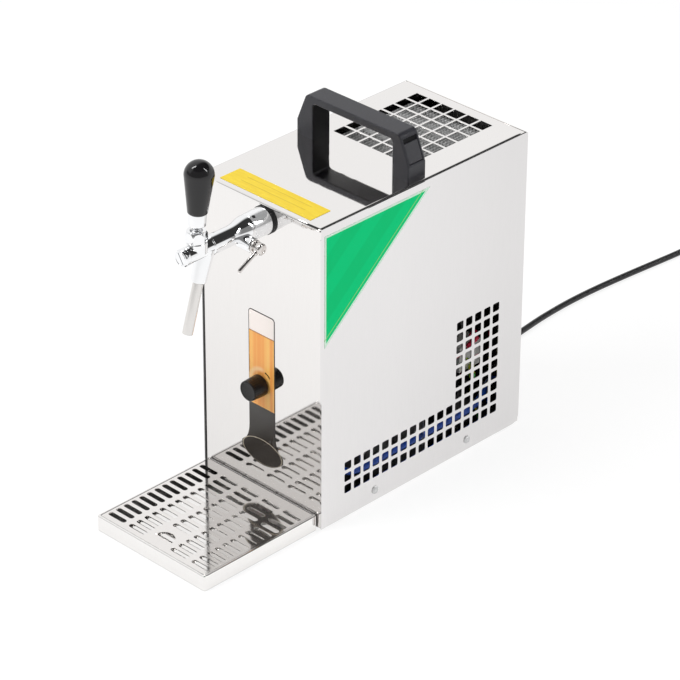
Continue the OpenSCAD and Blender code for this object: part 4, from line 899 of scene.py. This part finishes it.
print("thermostat knob")
dial = {
    "z": 142.5, "radius": 12, "front": 11.2, "back": 1.5, "face": 20, "rim": 9.6, "dish": 0.4,
    "hollow": 5.3, "hollowTo": 7, "shaft": 2.9, "ribs": 28, "depth": 0.22,
}
dialPlace = Matrix.Translation(at(0, 0, dial["z"])) @ turnBy(90, "X")
dished = dial["face"] - dial["dish"]
profile = fillet([
    (dial["hollow"], dial["back"], 0), (dial["radius"], dial["back"], 0.6),
    (dial["front"], dial["face"], 0.9), (dial["rim"], dial["face"], 0.2),
    (dial["rim"] - 0.2, dished, 0.2), (0, dished, 0)])
profile += [(0, dial["hollowTo"]), (dial["hollow"], dial["hollowTo"])]
bm = turned(profile, Matrix.Identity(4), closed=True, steps=dial["ribs"] * 6)
for v in bm.verts:  # fine grip ribs on the side
    radius = math.hypot(v.co.x, v.co.y)
    if radius > 10.6 * mm and dial["back"] + 1 < v.co.z / mm < dial["face"] - 0.6:
        wave = 0.5 - 0.5 * math.cos(dial["ribs"] * math.atan2(v.co.y, v.co.x))
        cut = 1 - dial["depth"] * mm / radius * wave
        v.co.x, v.co.y = v.co.x * cut, v.co.y * cut
bmesh.ops.transform(bm, matrix=dialPlace, verts=bm.verts)
lathe(bm, rod(dial["shaft"], -10, 7.2), dialPlace, steps=24)
addPiece("thermostatKnob", bm, dialBlack, "temperature_knob", ["thermostat_knob"])


print("lines inside")
crimp = {"radius": 3.6, "waist": 3.0, "end": 8, "shoulder": 2.6, "middle": 1.8}
hose = {
    "route": [
        (60, 296, 50), (60, 288, 50), (66, 272, 49), (74, 254, 46), (76, 229, 43), (76, 186, 43),
        (76, 156, 43), (76, 111, 43), (76, 70, 43), (72, 48, 48), (60, 38, 67), (48, 48, 104),
        (42, 74, 140), (40, 88, 156), (40, 90, 164), (40, 90, 172)],
    "diameter": 8,
}
live = {
    "route": [
        (61, 252, 117), (61, 252, 123), (67, 253, 131), (74, 248, 128), (74, 236, 120), (75, 218, 116),
        (76, 188, 115), (76, 166, 112), (76, 156, 112), (76, 140, 112), (62, 125.72, 117), (36, 108.38, 126),
        (16, 81.86, 138), (12, 58.4, 146), (12, 38, 147), (12, 30, 147)],
    "diameter": 2.4, "crimp": ((74, 242, 124), (74, 236, 120)),  # its middle, and a point ahead of it
}
earth = {
    "route": [
        (66, 242, 100), (70, 242, 100), (73, 242, 95), (73, 244, 79), (67, 249, 62), (64, 253, 48),
        (67, 258, 30), (69, 262, 14), (69, 262, 8.5), (69, 262, 4.5)],
    "diameter": 2.4, "crimp": ((73, 243, 87), (73, 244, 79)),
}


def crimpOn(mesh, middle, ahead):  # crimped joint on a wire
    half = [
        (0, crimp["end"], 0), (crimp["radius"], crimp["end"], 1.2), (crimp["radius"], crimp["shoulder"], 0.4),
        (crimp["waist"], crimp["middle"], 0.4)]
    bm = bmesh.new()
    bm.from_mesh(mesh)
    turn = (ahead - middle).to_track_quat("Z", "X").to_matrix().to_4x4()
    profile = fillet([(r, -h, edge) for r, h, edge in half] + half[::-1])
    lathe(bm, profile, Matrix.Translation(middle) @ turn, steps=24)
    bm.to_mesh(mesh)
    bm.free()


def tubePiece(name, line, material, replaced):  # a fixed tube, kept as a mesh
    points = smoothPath([at(*p) for p in line["route"]], 5)
    tube = curveTube(name + "Line", points, line["diameter"], material)
    mesh = bpy.data.meshes.new_from_object(tube.evaluated_get(bpy.context.evaluated_depsgraph_get()))
    bpy.data.objects.remove(tube)
    if "crimp" in line:
        crimpOn(mesh, *[at(*p) for p in line["crimp"]])
    dress(name, mesh, material, "cabinet", replaced, 50)


tubePiece("beerHose", hose, blueHose, ["beer_hose"])
tubePiece("liveWire", live, redWire, ["live_wire"])
tubePiece("earthWire", earth, stripedWire(), ["earth_wire"])


print("drip tray")
trayLevels = [  # inward from the outer wall, corner radius, height
    (0.7, 2.5, 0), (0.2, 2.9, 0.3), (0, 3, 0.9), (0, 3, 17.2),  # outside
    (0.09, 2.95, 17.75), (0.34, 2.8, 18.2), (0.72, 2.6, 18.44), (1.15, 2.4, 18.5),  # rolled rim
    (2.3, 2.1, 18.5), (2.5, 2, 18.42), (2.6, 2, 18.2), (2.6, 2, 17.5), (1.0, 2, 17.4),
    (1.0, 2, 2.7), (1.2, 2, 2.2), (1.7, 2, 2.0)]  # inside
trayLow, trayHigh = nodeBox("drip_tray")
trayMiddle = (trayLow[1] + trayHigh[1]) / 2
bm = bmesh.new()
rings = []
for inset, radius, height in trayLevels:
    wide, near = ((trayHigh[k] - trayLow[k]) / 2 - inset for k in (0, 1))
    corners = [(-wide, -near), (wide, -near), (wide, near), (-wide, near)]
    outline = fillet([(a, b, radius) for a, b in corners], closed=True)
    rings.append([bm.verts.new(Vector((a, trayMiddle + b, height)) * mm) for a, b in outline])
for lower, upper in zip(rings, rings[1:]):
    for i in range(len(lower)):
        bm.faces.new((lower[i - 1], lower[i], upper[i], upper[i - 1]))
for ring in (rings[0], rings[-1]):  # underside and floor
    bm.faces.new(ring)
bmesh.ops.recalc_face_normals(bm, faces=bm.faces)
dripTray = addPiece("dripTray", bm, traySteel, "tray", ["drip_tray"], angle=40)


def rearRim(face):  # close to the cabinet
    return onPlan(face.center)[1] > -2.0 and (face.normal.z > 0.9 or face.normal.y > 0.5)


def grateLip(face):  # the lip round the grate
    x, y = onPlan(face.center)
    return 17.4 < face.center.z / mm < 18.4 and abs(x) < 78.8 and -159 < y < -1.6


def leftWall(face):  # inside
    return face.normal.x > 0.5 and face.center.x / mm < -78.5 and 3 < face.center.z / mm < 17


repaint(dripTray.data, jointShade, grateLip)
repaint(dripTray.data, wellShade, leftWall)
repaint(dripTray.data, rimShade, rearRim)
flatNormals(dripTray)


print("finishes of the other parts")
finishes = {
    panelSteel: ["front_panel", "rear_panel", "base_pan"],
    sideSteel: ["right_side_panel", "left_side_panel"],
    screwSteel: ["side_screws"],
    grateSteel: ["drip_grate"],
    plainSteel: ["inner_frame", "fan_shroud", "shank_nut", "inlet_nut", "handle_screws", "compressor_bolts",
                 "outlet_tube"],
    chrome: ["tap_shank", "lever_nut", "tap_lever", "valve_plunger"],
    blackPlastic: ["beer_inlet", "fan_blade"],
    rubber: ["feet", "shank_gasket", "compressor_grommets", "plunger_seal"],
    blackPaint: ["coupling_screw", "compressor", "fan_motor"],
    dialPrint(): ["dial_plate"],
    cornerPrint(): ["side_label"],
    stripPrint(): ["top_label"],
    whitePlastic: ["thermostat", "relay_box", "compensator_cone"],
    greyPlastic: ["inlet_collet"],
    foamSkin: ["insulation_case", "insulation_lid"],
    aluminium: ["cold_block"],
    finMetal: ["condenser"],
    copper: ["filter_drier", "copper_pipes"],
}
for material, names in finishes.items():
    for name in names:
        nodes[name].data.materials.clear()
        nodes[name].data.materials.append(material)


def grateUnderside(face):  # the sheet is polished on one side only
    return face.normal.z < -0.9 and face.center.z / mm > 15


def grateLeftRail(face):  # in the dark
    return face.normal.x > 0.9 and face.center.x / mm < -70 and face.center.z / mm < 16


def frontJoint(face):  # beside the front panel
    x, y = onPlan(face.center)
    return x > -86.8 and y < 1.15


repaint(nodes["drip_grate"].data, millSteel, grateUnderside)
repaint(nodes["drip_grate"].data, wellShade, grateLeftRail)
repaint(nodes["left_side_panel"].data, jointShade, frontJoint)
softEdges(nodes["drip_grate"], 0.3, 2)


print("studio")
studio = {
    "floor": 14.0, "paper": 0.93, "glow": 0.68, "white": 1.13,  # half size, colour, glow's share and strength
    "sky": 0.5, "dark": 0.035, "bright": 13.0,  # light of the sky, dimmest mirrored wall, soft boxes
    "boxes": [((-0.5, -0.46, 0.73), (-0.28, -0.18, 0.94), 0.09),  # two end directions and half the width
              ((0.5, 0.3, 0.81), (0.72, 0.46, 0.52), 0.06)],
    "lamps": {"keyBox": ((-0.8, -1.62, 2.3), 38), "fillBox": ((1.7, 0.64, 2.3), 18)},
    "lampSize": (1.7, 0.8), "aim": (0, 0, 0.3),
}
dimZones = {  # where the room that the polished pieces mirror gets dimmer, from and to along each axis
    "rightX": (-0.5, -0.16), "backY": (0.3, 0.52), "backZ": (0.33, 0.47), "zenithZ": (0.54, 0.74),
    "streakY": 0.604, "streakHalf": (0.045, 0.025), "streakZ": (0.1, 0.26),
    "aheadX": 0.7, "aheadY": 0.715, "ahead": (0.05, 0.45), "aheadZ": (-0.02, 0.14, 0.8),
    "frontY": (-0.3, -0.55), "frontTop": (0.38, 0.2), "frontFoot": (-0.02, 0.06), "frontShare": 0.75,
    "wideFrontY": (-0.2, -0.45), "wideFrontShare": 0.18,
}


def stageFloor():
    bm = bmesh.new()
    bmesh.ops.create_grid(bm, x_segments=2, y_segments=2, size=studio["floor"])
    mesh = bpy.data.meshes.new("floor")
    bm.to_mesh(mesh)
    bm.free()
    floor = bpy.data.objects.new("floor", mesh)
    scene.collection.objects.link(floor)
    paper, tree, shader = newMaterial("paper")
    tree.nodes.remove(shader)
    diffuse = tree.nodes.new("ShaderNodeBsdfDiffuse")
    diffuse.inputs["Color"].default_value = (studio["paper"], studio["paper"], studio["paper"], 1)
    glow = tree.nodes.new("ShaderNodeEmission")
    glow.inputs["Strength"].default_value = studio["white"]
    glow.inputs["Color"].default_value = (1, 1, 1, 1)
    path = tree.nodes.new("ShaderNodeLightPath").outputs
    seen = largest(tree, path["Is Camera Ray"], path["Is Glossy Ray"], path["Is Transmission Ray"])
    blend = tree.nodes.new("ShaderNodeMixShader")
    tree.links.new(times(tree, seen, studio["glow"]), blend.inputs[0])
    tree.links.new(diffuse.outputs[0], blend.inputs[1])
    tree.links.new(glow.outputs[0], blend.inputs[2])
    tree.links.new(blend.outputs[0], tree.nodes["Material Output"].inputs["Surface"])
    mesh.materials.append(paper)
    floor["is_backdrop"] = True


def dot(tree, vector, other):
    node = tree.nodes.new("ShaderNodeVectorMath")
    node.operation = "DOT_PRODUCT"
    tree.links.new(vector, node.inputs[0])
    node.inputs[1].default_value = other
    return node.outputs["Value"]


def softBox(tree, way, low, high, half):  # a strip from one end direction to the other
    low, high = Vector(low).normalized(), Vector(high).normalized()
    middle = (low + high).normalized()
    reach = middle.dot(low)
    across = calc(tree, "ABSOLUTE", dot(tree, way, low.cross(high).normalized()))
    along = dot(tree, way, middle)
    return times(tree, soft(tree, across, half, half * 0.7), soft(tree, along, reach - 0.02, reach))


def studioWorld():
    world = bpy.data.worlds.new("studio")
    scene.world = world
    world.use_nodes = True
    tree = world.node_tree
    ground = tree.nodes["Background"]
    ground.inputs["Strength"].default_value = 1
    way = tree.nodes.new("ShaderNodeTexCoord").outputs["Generated"]
    split = tree.nodes.new("ShaderNodeSeparateXYZ")
    tree.links.new(way, split.inputs[0])
    x, y, z = split.outputs
    rightSide = soft(tree, x, *dimZones["rightX"])
    backRight = times(tree, soft(tree, z, *dimZones["backZ"]), rightSide, soft(tree, y, *dimZones["backY"]))
    streak = apart(tree, y, dimZones["streakY"])  # the dark line along the tap
    streak = soft(tree, streak, *dimZones["streakHalf"])
    streak = times(tree, streak, rightSide, soft(tree, z, *dimZones["streakZ"]))
    ahead = times(tree, x, dimZones["aheadX"])  # towards the camera's side
    ahead = calc(tree, "SUBTRACT", ahead, times(tree, y, dimZones["aheadY"]))
    room = times(tree, soft(tree, ahead, *dimZones["ahead"]), soft(tree, z, *dimZones["aheadZ"]))
    zenith = times(tree, soft(tree, z, *dimZones["zenithZ"]), rightSide)
    front = times(tree, soft(tree, y, *dimZones["frontY"]), soft(tree, z, *dimZones["frontTop"]))
    front = times(tree, front, dimZones["frontShare"], soft(tree, z, *dimZones["frontFoot"]))
    wideFront = times(tree, soft(tree, y, *dimZones["wideFrontY"]), dimZones["wideFrontShare"])
    shade = largest(tree, streak, backRight, zenith, room, front, wideFront)
    mirrored = mapRange(tree, shade, 0, 1, 1.0, studio["dark"])
    for low, high, half in studio["boxes"]:  # tall soft boxes, seen in the polished pieces
        box = softBox(tree, way, low, high, half)
        mirrored = calc(tree, "ADD", mirrored, times(tree, box, studio["bright"]))
    path = tree.nodes.new("ShaderNodeLightPath").outputs
    mirrored = calc(tree, "SUBTRACT", mirrored, studio["sky"])
    level = calc(tree, "ADD", studio["sky"], times(tree, path["Is Glossy Ray"], mirrored))
    seen = largest(tree, path["Is Camera Ray"], path["Is Transmission Ray"])  # these see plain white
    level = calc(tree, "ADD", level, times(tree, seen, calc(tree, "SUBTRACT", 1.0, level)))
    tree.links.new(level, ground.inputs["Color"])


def lamp(name, place, power):
    light = bpy.data.lights.new(name, "AREA")
    light.shape = "RECTANGLE"
    light.size, light.size_y = studio["lampSize"]
    light.energy = power
    made = bpy.data.objects.new(name, light)
    made.location = place
    made.rotation_mode = "QUATERNION"
    made.rotation_quaternion = (Vector(studio["aim"]) - Vector(place)).to_track_quat("-Z", "Y")
    made.visible_glossy = False
    scene.collection.objects.link(made)


stageFloor()
studioWorld()
for name, (place, power) in studio["lamps"].items():
    lamp(name, place, power)
scene.view_settings.view_transform = "Standard"

low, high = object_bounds()
print("done")
